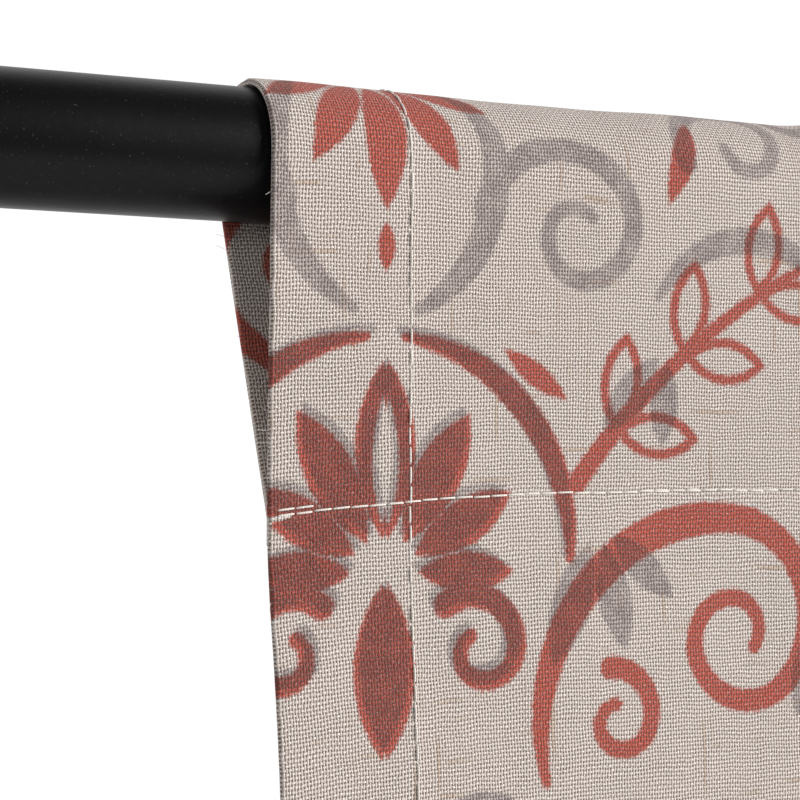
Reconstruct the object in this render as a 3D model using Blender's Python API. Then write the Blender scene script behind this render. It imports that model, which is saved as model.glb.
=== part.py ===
"""Window curtains on a telescoping rod.

Two rod-pocket panels hang side by side on a two-part steel rod with ball finials.
Three wall brackets carry the rod; the end brackets clamp it with thumb screws.

Frame: X runs along the rod, the room is towards -Y and Z is up. The origin is the centre of the
middle bracket's wall face, so the wall is the plane y = 0.
"""

import math

import bmesh
import bpy
from mathutils import Matrix, Vector

# Gaps
GAP = 0.00035  # between neighbouring pieces

# Rod
ROD_Y = -0.090  # rod axis in front of the wall
ROD_Z = 0.0172  # rod axis above the middle of the wall plate
OUTER_RADIUS = 0.0110
INNER_RADIUS = 0.0098
TUBE_WALL = 0.0008
OUTER_START, OUTER_END = -1.02, 0.14
INNER_START, INNER_END = -0.25, 1.02
TUBE_SIDES = 32

# Finials
BALL_RADIUS = 0.023
STUD_RADIUS = 0.0030
STUD_LENGTH = 0.016
PLUG_LENGTH = 0.022
FINIAL_SIDES = 24

# Brackets
BRACKET_X = {"left": -0.98, "centre": 0.0, "right": 0.98}
CLAMPED = ("left", "right")
PLATE_WIDTH, PLATE_THICK, PLATE_HEIGHT = 0.028, 0.003, 0.070
PLATE_CORNER = 0.004
ARM_WIDTH, ARM_THICK = 0.010, 0.005
CRADLE_WIDTH, CRADLE_THICK = 0.010, 0.0026
CRADLE_INNER = OUTER_RADIUS + 0.0005
CRADLE_UPRIGHT = 0.009
SCREW_SPACING = 0.048  # between the two wall screws of a bracket
SCREW_RADIUS, SCREW_HEAD_RADIUS, SCREW_HEAD_HEIGHT = 0.0019, 0.0042, 0.0024
SCREW_HOLE_RADIUS = 0.0024

# Thumb screws
THUMB_SHANK_RADIUS = 0.0020
THUMB_HOLE_RADIUS = 0.0024
THUMB_KNOB_RADIUS, THUMB_KNOB_LENGTH = 0.0075, 0.0095
THUMB_TRAVEL = 0.0030
KNOB_SIDES = 24
KNOB_FLUTE = 0.92  # radius of a flute's floor, as a share of the rim's

# Panels
PANEL_OUTER_X = 0.900  # outer edge of each panel from the middle
PANEL_INNER_X = 0.007  # leading edge of each panel from the middle
PANEL_LENGTH = 1.600  # finished length, from the top fold to the bottom edge
CLOTH = 0.0010
LAYER_STEP = CLOTH + 0.0005  # one layer of cloth to the next
POCKET_DROP = 0.058  # rod axis down to the pocket seam
SEAM_FORWARD = 0.0110  # pocket seam in front of the rod axis
SIDE_HEM = 0.025
BOTTOM_HEM = 0.076
THREAD = 0.0006
STITCH_INSET = 0.0020  # from a hem's fold to its stitching
PLUMB_FROM, PLUMB_TO = 0.10, 0.60  # depths between which the cloth settles under the rod

# Folds
FOLD_COUNT = 7
FOLD_DEPTH = 0.0145
FOLD_DEPTH_AT_SEAM = 0.0030
FOLD_FULL_AT = 0.42  # depth below the rod where the folds reach their full size
FLAT_OUTER = 0.10  # width beside the outer edge that hangs flat
FLAT_INNER = 0.04  # width beside the leading edge that hangs flat
FOLD_EASE = 0.05  # width over which the folds start and stop
FACE_COLUMNS = 56
POCKET_COLUMNS = 28
FACE_ROW_DEPTHS = (0.10, 0.17, 0.26, 0.42, 0.78, 1.15)

LOOP_RADIUS = OUTER_RADIUS + GAP + CLOTH / 2
COLOURS = {
    "rod": ((0.020, 0.019, 0.022), 0.35, 0.6),
    "bracket": ((0.024, 0.023, 0.026), 0.42, 0.5),
    "screw": ((0.045, 0.044, 0.048), 0.38, 0.8),
    "knob": ((0.018, 0.018, 0.020), 0.45, 0.0),
    "cloth": ((0.80, 0.70, 0.64), 0.92, 0.0),
    "hem": ((0.74, 0.62, 0.56), 0.92, 0.0),
    "thread": ((0.86, 0.80, 0.70), 0.80, 0.0),
}
MATERIALS = {}


def clear_scene():
    for item in list(bpy.data.objects):
        bpy.data.objects.remove(item, do_unlink=True)


def finish_of(name):
    """The Principled material of one finish, made once and shared."""
    if name not in MATERIALS:
        colour, roughness, metallic = COLOURS[name]
        material = bpy.data.materials.new(name)
        material.use_nodes = True
        shader = material.node_tree.nodes["Principled BSDF"]
        shader.inputs["Base Color"].default_value = (*colour, 1.0)
        shader.inputs["Roughness"].default_value = roughness
        shader.inputs["Metallic"].default_value = metallic
        MATERIALS[name] = material
    return MATERIALS[name]


def new_empty(name, location, parent=None):
    empty = bpy.data.objects.new(name, None)
    empty.location = location
    empty.parent = parent
    bpy.context.collection.objects.link(empty)
    return empty


def new_piece(name, bm, finish, parent=None, location=(0, 0, 0), smooth=False):
    """Turns a bmesh into a named object with its finish, placed under its parent."""
    bmesh.ops.recalc_face_normals(bm, faces=bm.faces)
    mesh = bpy.data.meshes.new(name)
    bm.to_mesh(mesh)
    bm.free()
    mesh.materials.append(finish_of(finish))
    if smooth:
        mesh.shade_smooth()
        mesh.set_sharp_from_angle(angle=math.radians(40))
    piece = bpy.data.objects.new(name, mesh)
    piece.parent = parent
    piece.location = location
    bpy.context.collection.objects.link(piece)
    return piece


def smoothstep(low, high, value):
    share = min(max((value - low) / (high - low), 0.0), 1.0)
    return share * share * (3 - 2 * share)


# Turned and flat metal pieces


def turned(profile, sides, axis, closed=False):
    """Spins a profile of (distance along the axis, radius) about a unit axis through the origin."""
    bm = bmesh.new()
    side = Vector((0, 0, 1))
    verts = [bm.verts.new(axis * along + side * radius) for along, radius in profile]
    pairs = list(zip(verts, verts[1:]))
    if closed:
        pairs.append((verts[-1], verts[0]))
    edges = [bm.edges.new(pair) for pair in pairs]
    bmesh.ops.spin(bm, geom=verts + edges, cent=(0, 0, 0), axis=axis, angle=math.tau, steps=sides)
    bmesh.ops.remove_doubles(bm, verts=bm.verts, dist=1e-6)
    return bm


def tube(name, start, end, radius, parent):
    bore = radius - TUBE_WALL
    profile = [(start, radius), (end, radius), (end, bore), (start, bore)]
    bm = turned(profile, TUBE_SIDES, Vector((1, 0, 0)), closed=True)
    return new_piece(name, bm, "rod", parent, smooth=True)


def rounded_plate(width, height, thick, corner):
    """A plate in the XZ plane with its back on y = 0 and its front towards -Y."""
    bm = bmesh.new()
    bmesh.ops.create_cube(bm, size=1.0)
    bmesh.ops.scale(bm, vec=(width, thick, height), verts=bm.verts)
    bmesh.ops.translate(bm, vec=(0, -thick / 2, 0), verts=bm.verts)
    uprights = [e for e in bm.edges if abs(e.verts[0].co.y - e.verts[1].co.y) > thick / 2]
    bmesh.ops.bevel(bm, geom=uprights, offset=corner, segments=3, affect="EDGES", profile=0.5)
    return bm


def round_cutter(name, radius, length, centre, parent):
    """A hidden cylinder along Y for a Boolean cut."""
    bm = bmesh.new()
    bmesh.ops.create_cone(
        bm, cap_ends=True, segments=20, radius1=radius, radius2=radius, depth=length,
        matrix=Matrix.Rotation(math.pi / 2, 4, "X"),
    )
    cutter = new_piece(name, bm, "bracket", parent, centre)
    cutter.hide_render = True
    cutter.display_type = "WIRE"
    return cutter


def cut(piece, cutter):
    boolean = piece.modifiers.new(cutter.name, "BOOLEAN")
    boolean.operation = "DIFFERENCE"
    boolean.solver = "EXACT"
    boolean.object = cutter


# Rod and finials


def finial_insert(name, bore, tube_radius, side, parent, location):
    """A plug in the tube's end with a flange outside it and a socket for the finial's stud."""
    plug = bore - GAP
    socket = STUD_RADIUS + GAP
    profile = [
        (-PLUG_LENGTH, socket), (-PLUG_LENGTH, plug), (GAP, plug),
        (GAP, tube_radius), (GAP + 0.004, tube_radius), (GAP + 0.004, socket),
    ]
    bm = turned(profile, FINIAL_SIDES, Vector((side, 0, 0)), closed=True)
    return new_piece(name, bm, "rod", parent, location, smooth=True)


def ball_profile(base):
    """Stud, collar, neck and ball, as distances from the tube's end and radii."""
    neck = 0.0062
    ball_centre = base + 0.012 + math.sqrt(BALL_RADIUS**2 - neck**2)
    points = [
        (base - STUD_LENGTH, 0.0), (base - STUD_LENGTH, STUD_RADIUS), (base, STUD_RADIUS),
        (base, 0.0118), (base + 0.0015, 0.0128), (base + 0.0035, 0.0128), (base + 0.005, 0.0118),
        (base + 0.0065, 0.0075), (base + 0.0090, neck),
    ]
    start = math.asin(neck / BALL_RADIUS)
    steps = 12
    for step in range(steps + 1):
        angle = start + (math.pi - start) * step / steps
        radius = BALL_RADIUS * math.sin(angle) if step < steps else 0.0
        points.append((ball_centre - BALL_RADIUS * math.cos(angle), radius))
    return points


def finial(name, side, parent, location):
    base = 2 * GAP + 0.004
    bm = turned(ball_profile(base), FINIAL_SIDES, Vector((side, 0, 0)))
    return new_piece(name, bm, "rod", parent, location, smooth=True)


def build_rod():
    """Both tubes, and at each end an insert and a ball finial that turns on the rod's axis."""
    axis = new_empty("rod_axis", (0, ROD_Y, ROD_Z))
    sliding = new_empty("rod_extension_origin", (0, 0, 0), axis)
    tube("rod_outer_tube", OUTER_START, OUTER_END, OUTER_RADIUS, axis)
    tube("rod_inner_tube", INNER_START, INNER_END, INNER_RADIUS, sliding)
    finial_insert(
        "finial_insert_left", OUTER_RADIUS - TUBE_WALL, OUTER_RADIUS, -1, axis, (OUTER_START, 0, 0)
    )
    finial_insert(
        "finial_insert_right", INNER_RADIUS - TUBE_WALL, INNER_RADIUS, 1, sliding, (INNER_END, 0, 0)
    )
    finial("finial_left", -1, axis, (OUTER_START, 0, 0))
    finial("finial_right", 1, sliding, (INNER_END, 0, 0))


# Brackets


def wall_plate(name, place):
    bm = rounded_plate(PLATE_WIDTH, PLATE_HEIGHT, PLATE_THICK, PLATE_CORNER)
    plate = new_piece(name, bm, "bracket", place)
    for label, side in (("upper", 1), ("lower", -1)):
        centre = (0, -PLATE_THICK / 2, side * SCREW_SPACING / 2)
        cutter = round_cutter(f"{name}_{label}_hole", SCREW_HOLE_RADIUS, 3 * PLATE_THICK, centre, place)
        cut(plate, cutter)


def wall_screw(name, place, height):
    """A pan-head screw through the plate: its point ends flush before the wall."""
    head = PLATE_THICK + GAP
    profile = [
        (GAP, 0.0), (GAP, SCREW_RADIUS), (head, SCREW_RADIUS), (head, SCREW_HEAD_RADIUS),
        (head + 0.5 * SCREW_HEAD_HEIGHT, 0.96 * SCREW_HEAD_RADIUS),
        (head + 0.85 * SCREW_HEAD_HEIGHT, 0.75 * SCREW_HEAD_RADIUS),
        (head + SCREW_HEAD_HEIGHT, 0.42 * SCREW_HEAD_RADIUS),
        (head + 0.45 * SCREW_HEAD_HEIGHT, 0.12 * SCREW_HEAD_RADIUS),
        (head + 0.40 * SCREW_HEAD_HEIGHT, 0.0),
    ]
    bm = turned(profile, 16, Vector((0, -1, 0)))
    new_piece(name, bm, "screw", place, (0, 0, height), smooth=True)


def arm_height():
    return ROD_Z - CRADLE_INNER - CRADLE_THICK - GAP - ARM_THICK / 2


def bracket_arm(name, place):
    start, end = PLATE_THICK + GAP, -ROD_Y + CRADLE_INNER + CRADLE_THICK
    bm = bmesh.new()
    bmesh.ops.create_cube(bm, size=1.0)
    bmesh.ops.scale(bm, vec=(ARM_WIDTH, end - start, ARM_THICK), verts=bm.verts)
    bmesh.ops.bevel(bm, geom=bm.edges[:], offset=0.0008, segments=1, affect="EDGES")
    new_piece(name, bm, "bracket", place, (0, -(start + end) / 2, arm_height()))


def cradle_outline():
    """The U of the cradle in (y, z) about the rod's axis: down the outside, back up the inside."""
    outer = CRADLE_INNER + CRADLE_THICK
    steps = 12
    angles = [math.pi + math.pi * step / steps for step in range(steps + 1)]
    outside = [(outer * math.cos(a), outer * math.sin(a)) for a in angles]
    inside = [(CRADLE_INNER * math.cos(a), CRADLE_INNER * math.sin(a)) for a in reversed(angles)]
    return (
        [(-outer, CRADLE_UPRIGHT)] + outside + [(outer, CRADLE_UPRIGHT)]
        + [(CRADLE_INNER, CRADLE_UPRIGHT)] + inside + [(-CRADLE_INNER, CRADLE_UPRIGHT)]
    )


def bracket_cradle(name, place, clamped):
    bm = bmesh.new()
    half = CRADLE_WIDTH / 2
    face = bm.faces.new([bm.verts.new((-half, y, z)) for y, z in cradle_outline()])
    grown = bmesh.ops.extrude_face_region(bm, geom=[face])
    moved = [item for item in grown["geom"] if isinstance(item, bmesh.types.BMVert)]
    bmesh.ops.translate(bm, vec=(CRADLE_WIDTH, 0, 0), verts=moved)
    cradle = new_piece(name, bm, "bracket", place, (0, ROD_Y, ROD_Z))
    if clamped:
        lip = ROD_Y - CRADLE_INNER - CRADLE_THICK / 2
        cutter = round_cutter(f"{name}_hole", THUMB_HOLE_RADIUS, 3 * CRADLE_THICK, (0, lip, ROD_Z), place)
        cut(cradle, cutter)


def fluted_knob(start, end):
    """A ring-shaped knob bored for the shank, with flutes pressed into its rim."""
    bore = THUMB_SHANK_RADIUS + GAP
    rim = THUMB_KNOB_RADIUS
    profile = [
        (start, bore), (start, 0.6 * rim), (start + 0.0015, 0.65 * rim), (start + 0.0025, rim),
        (end - 0.001, rim), (end, 0.85 * rim), (end, bore),
    ]
    bm = turned(profile, KNOB_SIDES, Vector((0, -1, 0)), closed=True)
    for vert in bm.verts:
        turn = round(math.atan2(vert.co.z, vert.co.x) / math.tau * KNOB_SIDES)
        if math.hypot(vert.co.x, vert.co.z) > 0.9 * rim and turn % 2:
            vert.co.x *= KNOB_FLUTE
            vert.co.z *= KNOB_FLUTE
    return bm


def thumb_screw(label, place):
    """A shank through the cradle's front lip and a fluted knob on its outer end."""
    outward = Vector((0, -1, 0))
    tip = OUTER_RADIUS + 0.0006
    knob_start = CRADLE_INNER + CRADLE_THICK + THUMB_TRAVEL + 0.0006
    knob_end = knob_start + THUMB_KNOB_LENGTH
    shank_end = knob_end - 0.0005
    shank = [
        (tip, 0.0), (tip, 0.7 * THUMB_SHANK_RADIUS), (tip + 0.0006, THUMB_SHANK_RADIUS),
        (shank_end, THUMB_SHANK_RADIUS), (shank_end, 0.0),
    ]
    axis = new_empty(f"thumb_screw_axis_{label}", (0, ROD_Y, ROD_Z), place)
    bm = turned(shank, 16, outward)
    new_piece(f"thumb_screw_shank_{label}", bm, "screw", axis, smooth=True)
    new_piece(f"thumb_screw_knob_{label}", fluted_knob(knob_start, knob_end), "knob", axis)


def build_brackets():
    for label, x in BRACKET_X.items():
        clamped = label in CLAMPED
        place = new_empty(f"bracket_{label}", (x, 0, 0))
        wall_plate(f"bracket_plate_{label}", place)
        wall_screw(f"wall_screw_{label}_upper", place, SCREW_SPACING / 2)
        wall_screw(f"wall_screw_{label}_lower", place, -SCREW_SPACING / 2)
        bracket_arm(f"bracket_arm_{label}", place)
        bracket_cradle(f"bracket_cradle_{label}", place, clamped)
        if clamped:
            thumb_screw(label, place)


# Panels. Across a panel, u runs from its outer edge (0) to its leading edge.
# Heights are depths below the rod's axis, and y is measured from the rod's axis.


def panel_width():
    return PANEL_OUTER_X - PANEL_INNER_X


def fold_share(u):
    """How much of the fold's depth is present across the panel: none beside either edge."""
    inner = panel_width() - FLAT_INNER
    return smoothstep(FLAT_OUTER, FLAT_OUTER + FOLD_EASE, u) * smoothstep(inner, inner - FOLD_EASE, u)


def fold_wave(u):
    """One fold to the room for each period, from -1 towards the room to 1 towards the wall."""
    span = panel_width() - FLAT_OUTER - FLAT_INNER
    return -math.sin(math.tau * FOLD_COUNT * (u - FLAT_OUTER) / span) * fold_share(u)


def fold_depth(depth):
    grown = smoothstep(POCKET_DROP, FOLD_FULL_AT, depth)
    return FOLD_DEPTH_AT_SEAM + (FOLD_DEPTH - FOLD_DEPTH_AT_SEAM) * grown


def face_y(u, depth):
    """The face cloth below the seam: its folds about a line that settles under the rod."""
    plumb = -SEAM_FORWARD * (1 - smoothstep(PLUMB_FROM, PLUMB_TO, depth))
    return plumb + fold_depth(depth) * fold_wave(u)


def pocket_section():
    """The pocket's loop in (y, z): up the front, over the rod, and down to the seam behind."""
    front = (-SEAM_FORWARD, -POCKET_DROP)
    back = (-SEAM_FORWARD + LAYER_STEP, -POCKET_DROP)
    reach = math.acos(LOOP_RADIUS / math.hypot(*front))
    first = math.tau + math.atan2(front[1], front[0]) - reach
    last = math.atan2(back[1], back[0]) + reach
    arc_steps, side_steps = 9, 2
    points = []
    for step in range(arc_steps + 1):
        angle = first + (last - first) * step / arc_steps
        points.append((LOOP_RADIUS * math.cos(angle), LOOP_RADIUS * math.sin(angle)))
    rise = [mixed(front, points[0], step / side_steps) for step in range(side_steps)]
    fall = [mixed(points[-1], back, (step + 1) / side_steps) for step in range(side_steps)]
    return rise + points + fall


def mixed(start, end, share):
    return (start[0] + (end[0] - start[0]) * share, start[1] + (end[1] - start[1]) * share)


def spread(start, end, count):
    return [start + (end - start) * step / count for step in range(count + 1)]


class Panel:
    """One curtain panel, hung from an empty on the rod's axis; side is -1 for left, 1 for right."""

    def __init__(self, label, side):
        self.label = label
        self.side = side
        self.swing = new_empty(f"panel_swing_{label}", (side * PANEL_OUTER_X, ROD_Y, ROD_Z))
        self.draw = new_empty(f"panel_draw_{label}", (0, 0, 0), self.swing)
        self.bottom = PANEL_LENGTH - LOOP_RADIUS * math.pi / 2
        self.seam_end = POCKET_DROP + GAP
        self.lead_start = panel_width() - SIDE_HEM
        self.face_end = self.lead_start - GAP
        self.columns = spread(0.0, self.face_end, FACE_COLUMNS)

    def sheet(self, name, rows, finish, thick=CLOTH, parent=None):
        """A closed sheet through rows of (u, y, z) points."""
        bm = bmesh.new()
        grid = [[bm.verts.new((-self.side * u, y, z)) for u, y, z in row] for row in rows]
        for upper, lower in zip(grid, grid[1:]):
            for a, b, c, d in zip(upper, upper[1:], lower[1:], lower):
                bm.faces.new((a, b, c, d))
        piece = new_piece(f"{name}_{self.label}", bm, finish, parent or self.swing)
        solid = piece.modifiers.new("thickness", "SOLIDIFY")
        solid.thickness = thick
        solid.offset = 0.0
        return piece

    def hanging(self, name, finish, columns, depths, behind=0.0, thick=CLOTH, parent=None):
        """A sheet that follows the face cloth at a set distance behind it."""
        rows = [[(u, face_y(u, depth) + behind, -depth) for u in columns] for depth in depths]
        return self.sheet(name, rows, finish, thick, parent)

    def loop(self, name, columns, parent=None):
        """The rod pocket over a stretch of the width."""
        rows = []
        for y, z in pocket_section():
            slack = FOLD_DEPTH_AT_SEAM * (max(-z, 0.0) / POCKET_DROP) ** 2
            rows.append([(u, y + slack * fold_wave(u), z) for u in columns])
        return self.sheet(name, rows, "cloth", parent=parent)

    def thread_across(self, name, depth, columns):
        """Stitching across the front of the cloth."""
        depths = (depth - THREAD / 2, depth + THREAD / 2)
        self.hanging(name, "thread", columns, depths, -LAYER_STEP, THREAD)

    def build(self):
        depths = [self.seam_end, *FACE_ROW_DEPTHS, self.bottom - BOTTOM_HEM, self.bottom]
        self.loop("rod_pocket", spread(0.0, self.face_end, POCKET_COLUMNS))
        self.hanging("face_cloth", "cloth", self.columns, depths)
        self.build_hems(depths)
        self.build_leading_edge(depths)
        self.build_stitching(depths)

    def build_hems(self, depths):
        side = spread(0.0, SIDE_HEM, 2)
        self.hanging("side_hem_outer", "hem", side, depths, LAYER_STEP)
        first = SIDE_HEM + GAP
        inner = [first] + [u for u in self.columns if u > first + GAP]
        hem_top = self.bottom - BOTTOM_HEM
        self.hanging("bottom_hem", "hem", inner, (hem_top, self.bottom), 1.5 * LAYER_STEP)

    def build_leading_edge(self, depths):
        """The folded edge that is drawn along the rod, with its own end of the pocket."""
        strip = spread(self.lead_start, panel_width(), 2)
        hem_behind = LAYER_STEP / 2
        self.loop("rod_pocket_leading", strip, self.draw)
        self.hanging(
            "side_hem_leading", "hem", strip, depths, hem_behind, CLOTH + LAYER_STEP, self.draw
        )

    def build_stitching(self, depths):
        pocket_seam = POCKET_DROP + STITCH_INSET
        hem_seam = self.bottom - BOTTOM_HEM + STITCH_INSET
        self.thread_across("pocket_stitching", pocket_seam, self.columns)
        self.thread_across("bottom_stitching", hem_seam, self.columns)
        edge = SIDE_HEM - STITCH_INSET
        column = (edge - THREAD / 2, edge + THREAD / 2)
        first = pocket_seam + THREAD / 2 + GAP
        last = hem_seam - THREAD / 2 - GAP
        rows = [first, *[d for d in depths if first < d < last], last]
        self.hanging("side_stitching", "thread", column, rows, -LAYER_STEP, THREAD)


def main():
    clear_scene()
    build_rod()
    build_brackets()
    Panel("left", -1).build()
    Panel("right", 1).build()


main()
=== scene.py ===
"""Window curtains on a telescoping rod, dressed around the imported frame.

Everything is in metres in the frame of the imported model: X along the rod, the room towards -Y, Z up.
Distances on the flat cloth are `across`, from a panel's outer fold, and `down`, from its top fold.
"""

import logging
import math
import random
from dataclasses import dataclass, field
from enum import Enum
from typing import Iterable, Sequence

import bmesh
import bpy
import numpy as np
from mathutils import Euler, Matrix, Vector


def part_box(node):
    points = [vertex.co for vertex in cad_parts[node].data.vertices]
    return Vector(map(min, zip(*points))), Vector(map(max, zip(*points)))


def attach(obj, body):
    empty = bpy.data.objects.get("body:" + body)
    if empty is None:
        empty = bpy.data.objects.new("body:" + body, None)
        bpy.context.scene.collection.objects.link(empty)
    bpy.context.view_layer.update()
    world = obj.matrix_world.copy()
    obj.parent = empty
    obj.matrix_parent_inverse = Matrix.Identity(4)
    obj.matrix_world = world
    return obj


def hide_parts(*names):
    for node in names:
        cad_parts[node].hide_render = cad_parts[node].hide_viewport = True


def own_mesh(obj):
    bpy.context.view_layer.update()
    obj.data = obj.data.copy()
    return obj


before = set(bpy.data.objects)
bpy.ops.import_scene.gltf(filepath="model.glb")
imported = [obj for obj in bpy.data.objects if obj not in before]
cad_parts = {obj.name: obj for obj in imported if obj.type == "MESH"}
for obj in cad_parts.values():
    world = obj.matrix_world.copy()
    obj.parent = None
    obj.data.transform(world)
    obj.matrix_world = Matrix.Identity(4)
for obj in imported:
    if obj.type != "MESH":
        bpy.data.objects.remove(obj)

log = logging.getLogger("curtains")

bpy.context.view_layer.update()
MILLIMETRE = 0.001
Point = tuple[float, float]
Socket = bpy.types.NodeSocket
Value = Socket | float | tuple


class Side(Enum):
    """The two ends of the rod, by the sign of X."""

    LEFT = -1
    RIGHT = 1

    @property
    def label(self) -> str:
        """The side's name as the frame's nodes spell it."""
        return self.name.lower()


class Ink(Enum):
    """The two printing inks, and where the print of each sits off register on the cloth, in mm."""

    CORAL = (0.55, -0.60)
    GREY = (-0.40, 0.50)


# Shader building


class Graph:
    """Adds nodes to one node tree and links them."""

    def __init__(self, tree: bpy.types.NodeTree) -> None:
        """Takes the tree that the nodes go in."""
        self.tree = tree

    def node(self, kind: str, **settings: object) -> bpy.types.Node:
        """Adds one node.

        Args:
            kind: The node's type name without its ShaderNode prefix, or a full type name.
            **settings: Properties of the node.

        Returns:
            The new node.
        """
        name = kind if kind.startswith("Node") else f"ShaderNode{kind}"
        node = self.tree.nodes.new(name)
        for key, setting in settings.items():
            setattr(node, key, setting)
        return node

    def feed(self, socket: Socket, value: Value) -> None:
        """Links a socket to the value if it is a socket, or else sets it."""
        if isinstance(value, bpy.types.NodeSocket):
            self.tree.links.new(value, socket)
        else:
            socket.default_value = value

    def math(self, operation: str, *values: Value) -> Socket:
        """Adds a Math node and returns its output."""
        node = self.node("Math", operation=operation)
        for socket, value in zip(node.inputs, values):
            self.feed(socket, value)
        return node.outputs[0]

    def vector(self, operation: str, *values: Value) -> Socket:
        """Adds a Vector Math node and returns its number or its vector, whichever it gives."""
        node = self.node("VectorMath", operation=operation)
        for socket, value in zip(node.inputs, values):
            self.feed(socket, value)
        return node.outputs["Value" if operation in ("DISTANCE", "LENGTH", "DOT_PRODUCT") else "Vector"]

    def parts(self, vector: Value) -> tuple[Socket, Socket, Socket]:
        """Splits a vector into its three numbers."""
        node = self.node("SeparateXYZ")
        self.feed(node.inputs[0], vector)
        return node.outputs[0], node.outputs[1], node.outputs[2]

    def joined(self, x: Value, y: Value, z: Value = 0.0) -> Socket:
        """Makes a vector of three numbers."""
        node = self.node("CombineXYZ")
        for socket, value in zip(node.inputs, (x, y, z)):
            self.feed(socket, value)
        return node.outputs[0]

    def remap(self, value: Value, start: Value, end: Value, low: Value = 0.0, high: Value = 1.0) -> Socket:
        """Maps value from start..end to low..high, held at both ends."""
        node = self.node("MapRange")
        for key, entry in zip(("Value", "From Min", "From Max", "To Min", "To Max"),
                              (value, start, end, low, high)):
            self.feed(node.inputs[key], entry)
        return node.outputs["Result"]

    def noise(self, place: Value, scale: float, detail: float = 2.0, rough: float = 0.5) -> Socket:
        """Adds a Noise Texture and returns its grey value."""
        node = self.node("TexNoise")
        self.feed(node.inputs["Vector"], place)
        node.inputs["Scale"].default_value = scale
        node.inputs["Detail"].default_value = detail
        node.inputs["Roughness"].default_value = rough
        return node.outputs["Fac"]

    def blend(self, share: Value, first: Value, second: Value, blend_type: str = "MIX") -> Socket:
        """Mixes two colours and returns the result."""
        node = self.node("Mix", data_type="RGBA", blend_type=blend_type)
        self.feed(node.inputs[0], share)
        self.feed(node.inputs[6], first)
        self.feed(node.inputs[7], second)
        return node.outputs[2]

    def group(self, tree: bpy.types.NodeTree, **values: Value) -> bpy.types.Node:
        """Places a node group; a value's name has underscores where its socket has spaces."""
        node = self.node("Group", node_tree=tree)
        for key, value in values.items():
            self.feed(node.inputs[key.replace("_", " ")], value)
        return node


def new_group(name: str, inputs: dict[str, str], outputs: dict[str, str]) -> tuple[Graph, dict[str, Socket],
                                                                                   dict[str, Socket]]:
    """Starts a shader node group.

    Args:
        name: The group's name.
        inputs: Socket names with their kinds, Float, Vector or Color.
        outputs: The same for what it puts out.

    Returns:
        Its graph, the sockets that its inputs arrive at, and those that its outputs leave from.
    """
    tree = bpy.data.node_groups.new(name, "ShaderNodeTree")
    for sockets, in_out in ((inputs, "INPUT"), (outputs, "OUTPUT")):
        for label, kind in sockets.items():
            tree.interface.new_socket(label, in_out=in_out, socket_type=f"NodeSocket{kind}")
    graph = Graph(tree)
    arrive = graph.node("NodeGroupInput")
    leave = graph.node("NodeGroupOutput")
    return graph, {key: arrive.outputs[key] for key in inputs}, {key: leave.inputs[key] for key in outputs}


# Print: a damask drawn with strokes and leaves. Places are in millimetres from the motif's axis and top.


def heading(angle: float) -> dict[str, tuple[float, float, float]]:
    """The directions along and across a motif that is turned by an angle."""
    cosine, sine = math.cos(angle), math.sin(angle)
    return {"Along": (cosine, sine, 0.0), "Across": (-sine, cosine, 0.0)}


@dataclass(frozen=True)
class Stroke:
    """A brush stroke along the arc through three points.

    Attributes:
        start: Where the stroke begins.
        middle: A point that it passes.
        end: Where it ends.
        widths: Its half width at those three points.
    """

    start: Point
    middle: Point
    end: Point
    widths: tuple[float, float, float]

    def circle(self) -> tuple[float, float, float, float, float]:
        """Finds the arc.

        Returns:
            The centre's x and y, the radius, the angle of the arc's middle and half its sweep.
        """
        (ax, ay), (bx, by), (cx, cy) = self.start, self.middle, self.end
        a2, b2, c2 = ax * ax + ay * ay, bx * bx + by * by, cx * cx + cy * cy
        scale = 2 * (ax * (by - cy) + bx * (cy - ay) + cx * (ay - by))
        x = (a2 * (by - cy) + b2 * (cy - ay) + c2 * (ay - by)) / scale
        y = (a2 * (cx - bx) + b2 * (ax - cx) + c2 * (bx - ax)) / scale
        first, through, last = (math.atan2(q - y, p - x) for p, q in (self.start, self.middle, self.end))
        sweep = (last - first) % math.tau
        if (through - first) % math.tau > sweep:
            sweep -= math.tau
        return x, y, math.hypot(ax - x, ay - y), first + sweep / 2, sweep / 2

    def place(self, graph: Graph, tools: "PrintTools", point: Socket, so_far: Value) -> Socket:
        """Adds the stroke to a drawing and returns the distance to the drawing's edge."""
        x, y, radius, angle, half = self.circle()
        start, middle, end = self.widths
        node = graph.group(
            tools.stroke, Point=point, Centre=(x, y, 0.0), **heading(angle), Radius=radius,
            Half_Sweep=half, Width=middle, Slope=(end - start) / 2, Swell=(end + start) / 2 - middle,
            So_Far=so_far,
        )
        return node.outputs["Distance"]


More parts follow.
